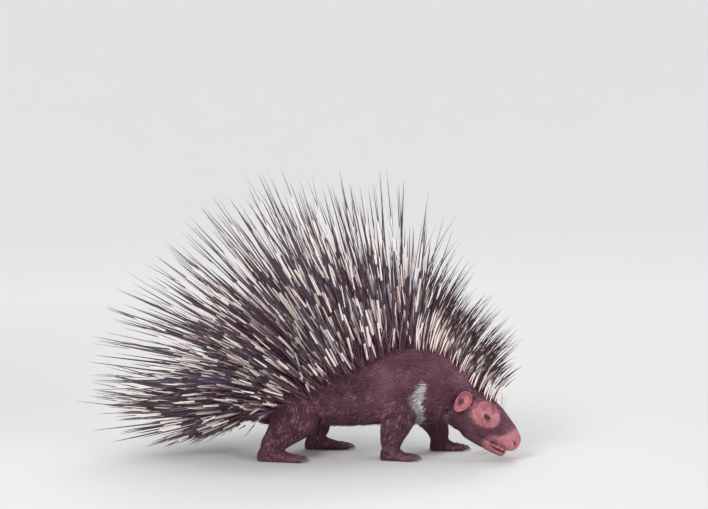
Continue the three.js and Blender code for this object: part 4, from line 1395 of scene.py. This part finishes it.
def make_spines(name, profile, sides, data, seed):
    """One piece of spines from a dictionary of arrays, each with chances that its colours follow."""
    made, faces, share, turn = spines(**data, profile=profile, sides=sides)
    count = len(data["roots"])
    draw = np.random.default_rng(seed)
    chance = np.repeat(draw.random((count, 2)), len(share), axis=0)
    hair = np.column_stack([np.tile(share, count), chance])
    piece = make_piece(name, made, faces, {"hair": hair}, strips_of(count, share, turn))
    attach(piece, "root")
    print(name, count, "spines", len(faces), "triangles")
    return piece


def choose(data, chosen):
    """Some of the spines of a dictionary of arrays."""
    return {key: value[chosen] for key, value in data.items()}


# %% Quills of the back
QUILL = [  # share of the length, and of the greatest radius
    (0, 0.25),
    (0.06, 0.6),
    (0.16, 0.94),
    (0.3, 1),
    (0.46, 0.9),
    (0.62, 0.7),
    (0.78, 0.46),
    (0.92, 0.24),
    (1, 0.03),
]
THIN_SPINE = [(0, 0.5), (0.12, 0.9), (0.3, 1), (0.5, 0.9), (0.68, 0.7), (0.84, 0.42), (1, 0.06)]


def turned_with_head(way, share):
    """Turns ways about the upright axis by a share of the head's turn."""
    turn = -share * HEAD_ASIDE
    x_way = way[:, 0] * np.cos(turn) - way[:, 1] * np.sin(turn)
    y_way = way[:, 0] * np.sin(turn) + way[:, 1] * np.cos(turn)
    return np.stack([x_way, y_way, way[:, 2]], 1)


def aside_turn(x, angle, turned):
    """The way a quill stands: its lean from the table, tipped to the side, and turned with the head."""
    lean = np.radians(along_coat(1, x))
    tip = angle * ASIDE
    way = np.stack([np.cos(lean) * np.cos(tip), np.sin(tip), np.sin(lean) * np.cos(tip)], 1)
    return turned_with_head(way, turned)


def astray(way, draw, degrees):
    """Ways that stray by chance from these, by about so many degrees."""
    return unit(way + draw.normal(0, 1, way.shape) * np.tan(np.radians(degrees)))


def above_floor(roots, way, long):
    """Shortens what would reach the floor."""
    room = (roots[:, 2] - FLOOR_ROOM) / np.maximum(-way[:, 2], 1e-6)
    return np.where(way[:, 2] < 0, np.minimum(long, room), long)


def within_box(roots, way, long):
    """Shortens what would reach out of the solids' box by more than a little."""
    low, high = (np.array(corner) * 1000 - SHIFT for corner in solids_box)
    for axis in range(3):
        step = np.where(np.abs(way[:, axis]) < 1e-6, 1e-6, way[:, axis])
        limit = np.where(step > 0, high[axis] + BOX_SPARE, low[axis] - BOX_SPARE)
        long = np.minimum(long, (limit - roots[:, axis]) / step)
    return long


def back_roots(tries, apart, draw, wider=1.0):
    """Places on the back inside the coat's edge, spread evenly, with the way that they stand and how
    far out they lie towards that edge."""
    place = 0.8 + draw.random(tries) * 8.9
    middle_x = trunk_point(place, np.zeros(tries))[:, 0]
    edge = np.radians(along_coat(3, middle_x)) * wider
    angle = edge * (2 * draw.random(tries) - 1)
    roots = trunk_point(place, angle, -TRUNK_UNDER)
    kept = scattered(roots, np.full(tries, apart) * np.interp(roots[:, 0], [60, 110], [1, 0.72]))
    place, angle, roots, edge = place[kept], angle[kept], roots[kept], edge[kept]
    turned = np.clip((roots[:, 0] - CREST_FROM) / 100, 0, 1)
    way = aside_turn(roots[:, 0], angle, turned)
    out = outward(trunk_point, place, angle)
    standing = (way * out).sum(axis=1) > 0.12
    return roots[standing], way[standing], (np.abs(angle) / edge)[standing]


draw = np.random.default_rng(23)
roots, way, edge_share = back_roots(14_000, 9.4, draw)
count = len(roots)
thin = draw.random(count) < 0.36
way = astray(way, draw, np.where(thin, 7.0, 4.2)[:, None])
share = 1 - np.where(thin, 0.3, 0.48) * draw.random(count) ** 1.7
long = along_coat(2, roots[:, 0]) * share * (1 - 0.34 * edge_share)
long = within_box(roots, way, above_floor(roots, way, long))
back_quills = {
    "roots": roots,
    "way": way,
    "long": long,
    "radius": np.where(thin, 1.9, 3.1) * draw.uniform(0.85, 1.12, count),
    "bend_way": unit(np.cross(way, LEFTWARD) + 0.4 * draw.normal(0, 1, (count, 3))),
    "bend": np.where(thin, 0.05, 0.018) * draw.uniform(-1, 1, count),
}
LEAST_QUILL = 60
BACK_PARTS = {"quills_rump": (-400, -190), "quills_middle": (-190, -60), "quills_front": (-60, CREST_FROM)}
for name, (first, last) in BACK_PARTS.items():
    chosen = (long > LEAST_QUILL) & (roots[:, 0] >= first) & (roots[:, 0] < last)
    make_spines(name, QUILL, 6, choose(back_quills, chosen), 31)

# %% [markdown]
# ## The crest
#
# From the brow to the shoulders the quills give way to long, thin, limber bristles, white at the root
# and dark at the tip, which curl forward over the head when the animal raises them.

# %% Crest bristles of neck and head
CREST_HEAD_FROM = 104
CREST_HEAD_ROUND = np.radians(22)
CREST_HEAD_LEAN = np.radians(62)
CREST_HEAD_TO = 200
CREST_STRAY = 4
CREST_CURL = 0.17  # of its length, that a bristle first stands back and then curls forward
neck_roots, neck_way, neck_edge = back_roots(9_000, 7.0, draw, 1.1)
kept = neck_roots[:, 0] > CREST_FROM - 30
neck_roots, neck_edge = neck_roots[kept], neck_edge[kept]
neck_way = astray(neck_way[kept], draw, CREST_STRAY)
tries = 1500
head_along = draw.random(tries)
head_back = CREST_HEAD_FROM + (CREST_HEAD_TO - CREST_HEAD_FROM) * head_along
head_angle = CREST_HEAD_ROUND * (2 * draw.random(tries) - 1)
head_roots = head_point(head_place(head_back), head_angle, -HEAD_UNDER)
kept = scattered(head_roots, np.full(tries, 6.2))
head_roots, head_angle, head_along = head_roots[kept], head_angle[kept], head_along[kept]
head_way = np.tile([np.cos(CREST_HEAD_LEAN), 0, np.sin(CREST_HEAD_LEAN)], (len(kept), 1))
head_way[:, 1] = np.sin(head_angle * ASIDE)
head_way = unit(turned_with_head(head_way, 1.0))
head_long = (105 + 60 * head_along) * draw.uniform(0.68, 1, len(kept))
neck_long = along_coat(2, neck_roots[:, 0]) * draw.uniform(0.6, 1.0, len(neck_roots))
neck_long = neck_long * (1 - 0.25 * neck_edge)
crest_roots = np.concatenate([neck_roots, head_roots])
crest_count = len(crest_roots)
crest_data = {
    "roots": crest_roots,
    "way": np.concatenate([neck_way, astray(head_way, draw, CREST_STRAY)]),
    "long": np.concatenate([neck_long, head_long]),
    "radius": draw.uniform(1.3, 1.8, crest_count),
    "bend_way": np.repeat([FORWARD, AHEAD], [len(neck_roots), len(head_roots)], axis=0),
    "bend": draw.uniform(0.10, 0.22, crest_count) + CREST_CURL,
}
crest_data["way"] = unit(crest_data["way"] - CREST_CURL * crest_data["bend_way"])
bent_way = unit(crest_data["way"] + crest_data["bend_way"] * crest_data["bend"][:, None])
crest_data["long"] = within_box(crest_roots, bent_way, crest_data["long"])
make_spines("crest", THIN_SPINE, 5, crest_data, 32)

# %% [markdown]
# ## The tail's quills, and the dark undergrowth
#
# The short tail closes the fan towards the ground. Between the great quills of the back grow thin dark
# bristles, a quarter to six tenths as long, which make the fan's heart dark.

# %% Quills of the tail
def tail_point(place, angle, grow=0.0):
    """The tail's surface by its place along the rows and the angle round it."""
    return limb_point(TAIL, LEFTWARD, place, angle, grow)


tries = 2600
place = 0.75 + 2.1 * draw.random(tries)
angle = 2 * np.pi * draw.random(tries)
tail_roots = tail_point(place, angle, -TRUNK_UNDER)
kept = scattered(tail_roots, np.full(tries, 6.4))
place, angle, tail_roots = place[kept], angle[kept], tail_roots[kept]
spread = 0.6 * (0.4 + 0.6 * draw.random(len(kept)))
way = unit(np.array([-1, 0, -0.12]) + outward(tail_point, place, angle) * spread[:, None])
way = astray(way, draw, 3)
longest = 330 - 420 * np.maximum(0, -way[:, 2])
long = above_floor(tail_roots, way, longest * draw.uniform(0.6, 1, len(kept)))
long = within_box(tail_roots, way, long)
count = len(kept)
tail_data = {
    "roots": tail_roots,
    "way": way,
    "long": long,
    "radius": draw.uniform(2.1, 2.8, count),
    "bend_way": unit(draw.normal(0, 1, (count, 3))),
    "bend": draw.uniform(-0.02, 0.02, count),
}
draw.integers(0, 2, count)  # drawn and not used, so that the later draws stay as they are
make_spines("quills_tail", QUILL, 6, choose(tail_data, long > 50), 33)

# %% Thin dark bristles between the quills
roots, way, edge_share = back_roots(16_000, 5.6, draw, 1.06)
count = len(roots)
way = astray(way, draw, 7)
long = along_coat(2, roots[:, 0]) * draw.uniform(0.22, 0.62, count) * (1 - 0.4 * edge_share)
undergrowth = {
    "roots": roots,
    "way": way,
    "long": above_floor(roots, way, np.minimum(long, 240)),
    "radius": draw.uniform(0.8, 1.3, count),
    "bend_way": unit(draw.normal(0, 1, (count, 3))),
    "bend": draw.uniform(0.0, 0.12, count),
}
make_spines("undergrowth", THIN_SPINE[::2], 3, undergrowth, 34)

# %% [markdown]
# ## Eyes, whiskers, teeth and claws
#
# The eyes are small and dark, each a ball with the clear bulge of its cornea, set deep behind the lids.
# Whiskers are spines like the crest's, as thin as hair. The incisors show between the lips. Claws
# taper and hook towards the ground.

# %% Eyes
CORNEA = 0.75
for name, side in SIDES.items():
    centre, along, up, out = eye_frame(side)

    def eye_surface(share, angle):
        """A sphere about the way that the eye looks, its radius raised in a bell over the cornea."""
        polar = np.pi * (0.004 + 0.992 * share)
        radius = EYE_RADIUS + CORNEA * hill(polar, 0, 0.62)
        round_axis = along * np.cos(angle)[..., None] + up * np.sin(angle)[..., None]
        way = out * np.cos(polar)[..., None] + round_axis * np.sin(polar)[..., None]
        return centre + way * radius[..., None]

    eye_points, eye_faces = loft(eye_surface, 64, 64)
    from_axis = np.arccos(np.clip(unit(eye_points - centre) @ out, -1, 1))
    turn = np.arctan2((eye_points - centre) @ up, (eye_points - centre) @ along)
    eye = make_piece("eyeball_" + name, eye_points, eye_faces, {"from_axis": from_axis, "turn": turn})
    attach(eye, "root")
    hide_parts("eye_" + name)

# %% Whiskers
WHISKERS = [  # behind the nose from and to, degrees from the top from and to, how many, longest
    (10, 36, 84, 118, 20, 100),
    (78, 92, 30, 46, 4, 55),
]
draw = np.random.default_rng(71)
whisker_roots, whisker_ways, whisker_long = [], [], []
for side in SIDES.values():
    for low, high, first, last, count, longest in WHISKERS:
        at = draw.uniform(low, high, count)
        turn = side * np.radians(draw.uniform(first, last, count))
        place = head_place(at)
        out = outward(head_point, place, turn)
        whisker_roots.append(head_point(place, turn, -HEAD_UNDER - 0.4))
        way = out * 0.9 - AHEAD * draw.uniform(0.15, 0.75, count)[:, None] + UP * 0.12
        whisker_ways.append(unit(way + draw.normal(0, 0.08, (count, 3))))
        whisker_long.append(longest * draw.uniform(0.5, 1, count))
roots = np.concatenate(whisker_roots)
way = np.concatenate(whisker_ways)
count = len(roots)
whiskers = {
    "roots": roots,
    "way": way,
    "long": within_box(roots, way, above_floor(roots, way, np.concatenate(whisker_long))),
    "radius": np.full(count, 0.3),
    "bend_way": unit(-AHEAD - 0.5 * UP) * np.ones((count, 1)),
    "bend": draw.uniform(0.05, 0.22, count),
}
make_spines("whiskers", THIN_SPINE, 4, whiskers, 35)

# %% Teeth and claws
def incisor(rows):
    """A bent chisel: at each row an ellipse squared off by a power of one half, wide across the mouth."""
    rows = np.array(rows, float)

    def surface(share, angle):
        back, left, above, wide, deep = np.moveaxis(between(rows, share * (len(rows) - 1)), -1, 0)
        cosine = np.sign(np.cos(angle)) * np.abs(np.cos(angle)) ** 0.55
        sine = np.sign(np.sin(angle)) * np.abs(np.sin(angle)) ** 0.55
        return in_head(back + deep * sine, left + wide * cosine, above)

    return loft(surface, 24, 28)


def with_share(form, rings, sides):
    """The share along a loft at each of its points, root to tip."""
    return form, np.concatenate([np.repeat(np.linspace(0, 1, rings), sides), [0.0, 1.0]])


INCISORS = [(13, -6, -23), (23, -38, -21)]  # behind the nose, height of root and of tip: upper and lower
teeth, shares_along = [], []
for side in SIDES.values():
    for back, root, tip in INCISORS:
        rows = [  # back, left, above, half the width and half the depth
            (back + 4, side * 3.3, root, 2.9, 2.9),
            (back + 0.6, side * 3.2, root * 0.5 + tip * 0.5, 3.0, 2.6),
            (back + 0.9, side * 3.15, tip * 0.85 + root * 0.15, 2.95, 1.6),
            (back + 1.5, side * 3.1, tip, 2.8, 0.5),
        ]
        form, share = with_share(incisor(rows), 24, 28)
        teeth.append(form)
        shares_along.append(share)
incisors = make_piece("incisors", *joined(teeth), {"along": np.concatenate(shares_along)})
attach(incisors, "root")

claw_forms, claw_shares = [], []
for name in FEET:
    for _, rows in toe_rows(name):
        form, share = with_share(limb(rows, 22, 18), 22, 18)
        claw_forms.append(form)
        claw_shares.append(share)
claws = make_piece("claws", *joined(claw_forms), {"along": np.concatenate(claw_shares)})
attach(claws, "root")
print(len(claw_forms), "claws and", len(teeth), "incisors")

# %% [markdown]
# ## Writing materials as sums
#
# A material's maths could be wired by hand, node by node, but the wiring hides what it works out. The
# class below wraps a socket, so that an expression such as 1 - mask * 0.5 adds the Math nodes itself.

# %% Wires and paint
class Wire:
    """A socket on which arithmetic works: each operator adds one Math node."""

    def __init__(self, paint, socket):
        self.paint = paint
        self.socket = socket

    def math(self, operation, first, second=0.0):
        return self.paint.add("Math", {"operation": operation}, {0: first, 1: second})

    def __add__(self, other):
        return self.math("ADD", self, other)

    def __radd__(self, other):
        return self.math("ADD", other, self)

    def __sub__(self, other):
        return self.math("SUBTRACT", self, other)

    def __rsub__(self, other):
        return self.math("SUBTRACT", other, self)

    def __mul__(self, other):
        return self.math("MULTIPLY", self, other)

    def __rmul__(self, other):
        return self.math("MULTIPLY", other, self)

    def __truediv__(self, other):
        return self.math("DIVIDE", self, other)

    def __pow__(self, other):
        return self.math("POWER", self, other)

    def step(self, low, high):
        """0 below low, 1 above high, and an S curve between."""
        settings = {"interpolation_type": "SMOOTHSTEP"}
        sockets = {"Value": self, "From Min": low, "From Max": high}
        return self.paint.add("MapRange", settings, sockets)


class Paint:
    """One material and its nodes."""

    def __init__(self, name, **constants):
        self.material = bpy.data.materials.new(name)
        self.material.use_nodes = True
        self.tree = self.material.node_tree
        self.shader = self.tree.nodes["Principled BSDF"]
        for socket, value in constants.items():
            self.shader.inputs[socket.replace("_", " ")].default_value = value

    def add(self, kind, settings=None, sockets=None, output=0):
        """Adds a node: its settings first, a ramp's stops among them, then its sockets' values or wires."""
        node = self.tree.nodes.new("ShaderNode" + kind)
        for key, value in (settings or {}).items():
            if key == "stops":
                self.set_stops(node.color_ramp, value)
            else:
                setattr(node, key, value)
        for key, value in (sockets or {}).items():
            self.feed(node.inputs[key], value)
        return Wire(self, node.outputs[output])

    def feed(self, socket, value):
        """Links a wire to a socket, or sets the socket's own value."""
        if isinstance(value, Wire):
            self.tree.links.new(value.socket, socket)
        else:
            socket.default_value = value

    def set_stops(self, ramp, stops):
        """Gives a ramp its places and colours."""
        for place, _ in stops[len(ramp.elements) :]:
            ramp.elements.new(place)
        for element, (place, colour) in zip(ramp.elements, stops):
            element.position = place
            element.color = (*colour, 1)

    def place(self):
        """The place on the piece, in metres."""
        return self.add("TexCoord", output="Object")

    def attribute(self, name, output="Fac"):
        """What the mesh keeps under a name at every point."""
        return self.add("Attribute", {"attribute_name": name}, output=output)

    def parts(self, wire):
        """The three numbers of a vector or colour."""
        node = self.tree.nodes.new("ShaderNodeSeparateXYZ")
        self.feed(node.inputs[0], wire)
        return [Wire(self, socket) for socket in node.outputs]

    def noise(self, scale, detail=3.0, vector=None, roughness=0.55):
        """Soft chance from 0 to 1, of so many waves a metre."""
        sockets = {"Vector": vector or self.place(), "Scale": scale, "Detail": detail}
        return self.add("TexNoise", None, {**sockets, "Roughness": roughness})

    def mix(self, factor, first, second):
        """Goes from the first colour to the second as the factor goes from 0 to 1."""
        colours = {6: self.colour(first), 7: self.colour(second)}
        return self.add("Mix", {"data_type": "RGBA"}, {0: factor, **colours}, output=2)

    def colour(self, value):
        """A wire as it is, and three numbers with a fourth for what shows through."""
        return value if isinstance(value, Wire) else (*value, 1)

    def ramp(self, value, stops):
        """Colours by a value, straight from each stop to the next."""
        return self.add("ValToRGB", {"stops": stops}, {"Fac": value})

    def bump(self, height, strength, depth):
        """Normals as of a surface that is so high, in metres of depth."""
        sockets = {"Height": height, "Strength": strength, "Distance": depth}
        return self.add("Bump", None, sockets)

    def finish(self, pieces, **wires):
        """Feeds the shader's sockets and gives the material to the pieces."""
        for socket, value in wires.items():
            self.feed(self.shader.inputs[socket.replace("_", " ")], value)
        for piece in pieces:
            piece.data.materials.clear()
            piece.data.materials.append(self.material)


# %% [markdown]
# ## The colours of hide and hair
#
# Skin and tufts take their colours from the same four markings, so that no edge of a marking shows
# twice. Over them lie slow changes of shade, as in any coat that has grown and faded outdoors. A tuft
# also gets paler towards its tip, and each one a little of its own. Down is paler than the pink skin
# that it grows on, as on a cheek.

# %% The coat's colours
COAT_DEEP = (0.20, 0.080, 0.112)
COAT_BROWN = (0.41, 0.18, 0.25)
COAT_LIGHT = (0.80, 0.52, 0.56)
FEET_DARK = (0.14, 0.060, 0.080)
COLLAR_WHITE = (0.99, 0.95, 0.94)
SKIN_PINK = (0.46, 0.16, 0.19)
SKIN_DUSKY = (0.29, 0.095, 0.115)
PINK_HAIR = (0.56, 0.24, 0.27)
# Painted shade: the near black that nostrils, mouth, ear holes and lid edges are darkened to.
PAINTED_SHADE_DARK = (0.045, 0.012, 0.014)


def coat_colour(paint, pinks):
    """Brown of two depths by a slow noise, darkened to the feet, then pink and white by the markings."""
    collar, bare, dark = paint.parts(paint.attribute("marks", "Vector"))
    slow = paint.noise(9, 3)
    brown = paint.mix(slow.step(0.35, 0.68), COAT_DEEP, COAT_BROWN)
    brown = paint.mix(dark * 0.35, brown, FEET_DARK)
    pink = paint.mix(paint.noise(70, 4).step(0.35, 0.7), *pinks)
    return paint.mix(collar, paint.mix(bare, brown, pink), COLLAR_WHITE), collar, bare


paint = Paint("hide", Roughness=0.62, Specular_IOR_Level=0.35)
colour, collar, bare = coat_colour(paint, (SKIN_DUSKY, SKIN_PINK))
grain = paint.noise(260, 4, roughness=0.6)
pores = paint.add("TexVoronoi", None, {"Vector": paint.place(), "Scale": 620.0})
streams = paint.add("VectorMath", {"operation": "MULTIPLY"}, {0: paint.place(), 1: (420, 420, 150)})
hairs = paint.noise(1.0, 3, streams)
height = pores * 0.45 * bare + grain * 0.5 + hairs * (1 - bare)
colour = paint.mix(grain.step(0.5, 0.8) * 0.35, colour, SKIN_DUSKY)
# Painted shade: the skin's colour goes to near black by the hollow attribute, in nostrils, mouth, ears and
# along the lids.
paint.finish(
    [skin],
    Base_Color=paint.mix(paint.attribute("hollow").step(0.1, 0.9), colour, PAINTED_SHADE_DARK),
    Roughness=0.72 - bare * 0.28 + grain * 0.1,
    Normal=paint.bump(height, 0.55, 0.0012),
)

paint = Paint("bristles", Specular_IOR_Level=0.3)
colour, collar, bare = coat_colour(paint, (SKIN_PINK, PINK_HAIR))
along, chance, other_chance = paint.parts(paint.attribute("hair", "Vector"))
light = paint.attribute("marks", "Alpha")
tip = along.step(0.25, 1.0)
colour = paint.mix(chance.step(0.45, 1.0) * 0.4 * (1 - bare), colour, COAT_BROWN)
colour = paint.mix(light * tip * other_chance.step(0.3, 0.7) * (1 - bare), colour, COAT_LIGHT)
colour = paint.mix((1 - along) * (1 - collar) * (1 - bare) * 0.35, colour, COAT_DEEP)
colour = paint.mix(collar, colour, COLLAR_WHITE)
paint.finish(list(coat.values()), Base_Color=colour, Roughness=0.5 + chance * 0.2)

# %% [markdown]
# ## Bands of the quills
#
# Every quill is banded cream and blackish plum, and no two alike: the bands slide along the length by
# chance. Some dark bands are slate, some quills have one long pale band, and some none. The horn has a
# fine grain and shines a little, as a fingernail does.

# %% Paint for quills, crest and dark bristles
CREAM = (0.86, 0.77, 0.72)
CREAM_ROOT = (0.66, 0.54, 0.49)
PLUM_BLACK = (0.050, 0.021, 0.029)
SLATE = (0.075, 0.062, 0.110)
QUILL_BANDS = [  # share of the length, and the colour there
    (0.00, COAT_DEEP),
    (0.06, PLUM_BLACK),
    (0.075, CREAM_ROOT),
    (0.12, CREAM),
    (0.36, CREAM),
    (0.37, PLUM_BLACK),
    (0.57, PLUM_BLACK),
    (0.58, CREAM),
    (0.76, CREAM),
    (0.79, PLUM_BLACK),
    (1.00, PLUM_BLACK),
]
OTHER_BANDS = [
    (0.00, COAT_DEEP),
    (0.10, PLUM_BLACK),
    (0.22, PLUM_BLACK),
    (0.23, CREAM),
    (0.50, CREAM),
    (0.51, PLUM_BLACK),
    (1.00, PLUM_BLACK),
]
CREST_BANDS = [
    (0.00, COAT_DEEP),
    (0.05, CREAM_ROOT),
    (0.10, CREAM),
    (0.46, CREAM),
    (0.54, PLUM_BLACK),
    (1.00, PLUM_BLACK),
]


def named(*names):
    """The pieces of these names."""
    return [bpy.data.objects[name] for name in names]


def horn(paint):
    """What a spine's colours follow: the share along it, its two chances, and a fine grain."""
    along, chance, other = paint.parts(paint.attribute("hair", "Vector"))
    return along, chance, other, paint.noise(900, 2)


paint = Paint("quill_horn", Specular_IOR_Level=0.5, Coat_Weight=0.15, Coat_Roughness=0.3)
along, chance, other, fine = horn(paint)
slid = along + (chance - 0.5) * 0.14
first = paint.ramp(slid, QUILL_BANDS)
second = paint.ramp(slid, OTHER_BANDS)
colour = paint.mix(other.step(0.62, 0.63), first, second)
plain_dark = other.step(0.32, 0.33) * other.step(0.56, 0.55)
colour = paint.mix(plain_dark, colour, PLUM_BLACK)
dark = 1 - paint.add("RGBToBW", None, {0: colour}).step(0.05, 0.3)
colour = paint.mix(fine.step(0.45, 0.75) * 0.25 * (1 - dark), colour, CREAM_ROOT)
dark_horn = paint.mix(chance.step(0.45, 0.85) * along.step(0.8, 0.6), PLUM_BLACK, SLATE)
colour = paint.mix(dark, colour, dark_horn)
paint.finish(
    named("quills_rump", "quills_middle", "quills_front", "quills_tail"),
    Base_Color=colour,
    Roughness=0.34 + fine * 0.16,
    Normal=paint.bump(fine, 0.25, 0.0004),
)

paint = Paint("crest_bristle", Specular_IOR_Level=0.4)
along, chance, other, fine = horn(paint)
colour = paint.ramp(along + (chance - 0.5) * 0.2, CREST_BANDS)
colour = paint.mix(other.step(0.8, 0.82), colour, PLUM_BLACK)
paint.finish(named("crest"), Base_Color=colour, Roughness=0.42 + fine * 0.15)

paint = Paint("dark_bristle", Specular_IOR_Level=0.35)
along, chance, other, fine = horn(paint)
colour = paint.mix(chance * 0.8, PLUM_BLACK, COAT_BROWN)
colour = paint.mix(other.step(0.82, 0.84) * along.step(0.3, 0.9) * 0.7, colour, CREAM_ROOT)
paint.finish(named("undergrowth"), Base_Color=colour, Roughness=0.45 + fine * 0.15)

paint = Paint("whisker", Specular_IOR_Level=0.4)
along, chance, other, fine = horn(paint)
colour = paint.mix(chance * 0.5, PLUM_BLACK, COAT_DEEP)
paint.finish(named("whiskers"), Base_Color=colour, Roughness=0.4 + fine * 0.1)

# %% [markdown]
# ## Eyes, teeth and claws
#
# The iris is so dark that it shows only close by, and the wet highlight gives the eye its life. Enamel
# is yellow at the front of a rodent's incisor, and orange near the root. Claws are dull dark horn, worn
# pale at the point.

# %% Paint for eyes, teeth and claws
paint = Paint("eye_wet", Roughness=0.04, Specular_IOR_Level=0.4)
from_axis = paint.attribute("from_axis")
turn = paint.attribute("turn")
polar_place = paint.add("CombineXYZ", None, {0: turn * 0.12, 1: from_axis * 0.02, 2: 0.0})
rays = paint.noise(40.0, 3, polar_place)
iris = paint.mix(rays.step(0.35, 0.7), (0.020, 0.009, 0.005), (0.060, 0.026, 0.013))
colour = paint.mix(from_axis.step(0.26, 0.30), (0.002, 0.002, 0.002), iris)
colour = paint.mix(from_axis.step(0.66, 0.8), colour, (0.008, 0.005, 0.004))
paint.finish(named("eyeball_left", "eyeball_right"), Base_Color=colour)

paint = Paint("enamel", Coat_Weight=0.5, Coat_Roughness=0.12, Specular_IOR_Level=0.5)
along = paint.attribute("along")
stain = paint.noise(300, 3)
ENAMEL = [(0.0, (0.55, 0.33, 0.13)), (0.45, (0.80, 0.63, 0.38)), (1.0, (0.88, 0.80, 0.64))]
paint.finish(
    [incisors],
    Base_Color=paint.ramp(along + (stain - 0.5) * 0.2, ENAMEL),
    Roughness=0.2 + stain * 0.15,
    Normal=paint.bump(stain, 0.2, 0.0003),
)

paint = Paint("claw_horn", Specular_IOR_Level=0.45)
along = paint.attribute("along")
wave = {"Vector": paint.place(), "Scale": 160.0, "Distortion": 3.0}
layers = paint.add("TexWave", {"wave_type": "BANDS"}, wave)
CLAW_HORN = [(0.0, (0.035, 0.020, 0.016)), (0.55, (0.075, 0.045, 0.033)), (1.0, (0.30, 0.21, 0.15))]
paint.finish(
    [claws],
    Base_Color=paint.mix(layers * 0.3, paint.ramp(along, CLAW_HORN), (0.03, 0.018, 0.015)),
    Roughness=0.38 + layers * 0.15,
    Normal=paint.bump(layers, 0.3, 0.0004),
)

# %% [markdown]
# ## Floor and light
#
# A flat plane would show its edge as a hard line behind the animal. The floor is a wide shallow bowl
# instead, whose side rises so slowly that floor and background become one pale surface from any side.
# It is a little darker under the animal, where the lamps are aimed, so that its tone stays even. The
# light is a photographer's: a large soft lamp near the camera, a weaker one low at the head's side, one
# behind for the rim of the quills, and a faint one above, all hidden from the camera. The sky is as
# bright as they are, because a flat drawing has no deep shadows.

# %% Floor and light
FLOOR_FLAT = 9.0  # metres, as all of the floor's sizes
FLOOR_WIDE = 22.0
FLOOR_HIGH = 9.0
FLOOR_SIDES = 96


def floor_bowl():
    """Rings of a bowl round a middle point: flat to its flat radius, then up by a cosine curve."""
    flat = np.linspace(0.05, FLOOR_FLAT, 12)
    radius = np.concatenate([flat, np.linspace(FLOOR_FLAT, FLOOR_WIDE, 40)[1:]])
    share = np.clip((radius - FLOOR_FLAT) / (FLOOR_WIDE - FLOOR_FLAT), 0, 1)
    rise = FLOOR_HIGH * 0.5 * (1 - np.cos(np.pi * share))
    angle = np.arange(FLOOR_SIDES) * 2 * np.pi / FLOOR_SIDES
    ring = np.stack([np.cos(angle), np.sin(angle), np.zeros(FLOOR_SIDES)], 1)
    bowl = ring[None] * radius[:, None, None] + UP * rise[:, None, None]
    metres = np.concatenate([bowl.reshape(-1, 3), np.zeros((1, 3))])
    triangles = loft_triangles(len(radius), FLOOR_SIDES)[:-FLOOR_SIDES, ::-1]
    return metres * 1000 - SHIFT, triangles


floor = make_piece("floor", *floor_bowl())
floor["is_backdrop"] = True
paint = Paint("paper", Roughness=0.8, Specular_IOR_Level=0.2)
grain = paint.noise(3.0, 4)
from_middle = paint.add("VectorMath", {"operation": "LENGTH"}, {0: paint.place()}, output=1)
paper = paint.mix(from_middle.step(0.8, 4.0), (0.56, 0.555, 0.54), (0.88, 0.87, 0.85))
paint.finish([floor], Base_Color=paint.mix(grain * 0.03, paper, (0.5, 0.49, 0.47)))

LAMP_SPREAD = np.radians(48)  # narrow, so that the floor below a lamp stays as pale as elsewhere
LAMPS = {  # where each soft lamp stands, its size and its power
    "key": ((-2.4, -4.8, 3.8), 2.2, 21),
    "fill": ((4.0, -4.2, 1.3), 2.2, 16),
    "rim": ((1.6, 4.4, 4.4), 2.2, 10),
    "top": ((-0.2, 0.0, 5.0), 3.0, 4),
}
LAMPS_LOOK_AT = Vector((0, 0, 0.25))
for name, (place, size, power) in LAMPS.items():
    light_data = bpy.data.lights.new(name, "AREA")
    light_data.size = size
    light_data.energy = power
    light_data.spread = LAMP_SPREAD
    lamp = bpy.data.objects.new(name, light_data)
    lamp.location = place
    lamp.visible_camera = False
    lamp.rotation_euler = (LAMPS_LOOK_AT - Vector(place)).to_track_quat("-Z", "Y").to_euler()
    bpy.context.scene.collection.objects.link(lamp)
world = bpy.data.worlds.new("studio")
bpy.context.scene.world = world
world.use_nodes = True
sky = world.node_tree.nodes["Background"].inputs
sky["Color"].default_value = (0.95, 0.96, 1.0, 1)
sky["Strength"].default_value = 0.95
bpy.context.scene.view_settings.view_transform = "Standard"

# %% [markdown]
# ## Sizes, and the end
#
# Quills, crest and whiskers are cut short at the solids' box, and the coat of bristles stands out of it a
# little. The dressed animal has to stay within the solids' box, apart from the little that a coat may
# stand out. Both boxes are printed, so that they can be compared.

# %% Both boxes
dressed_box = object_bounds()
boxes = {
    "solids": [list(corner) for corner in solids_box],
    "dressed": [list(corner) for corner in dressed_box],
}
for name, corners in boxes.items():
    print(name, [[round(value, 4) for value in corner] for corner in corners])
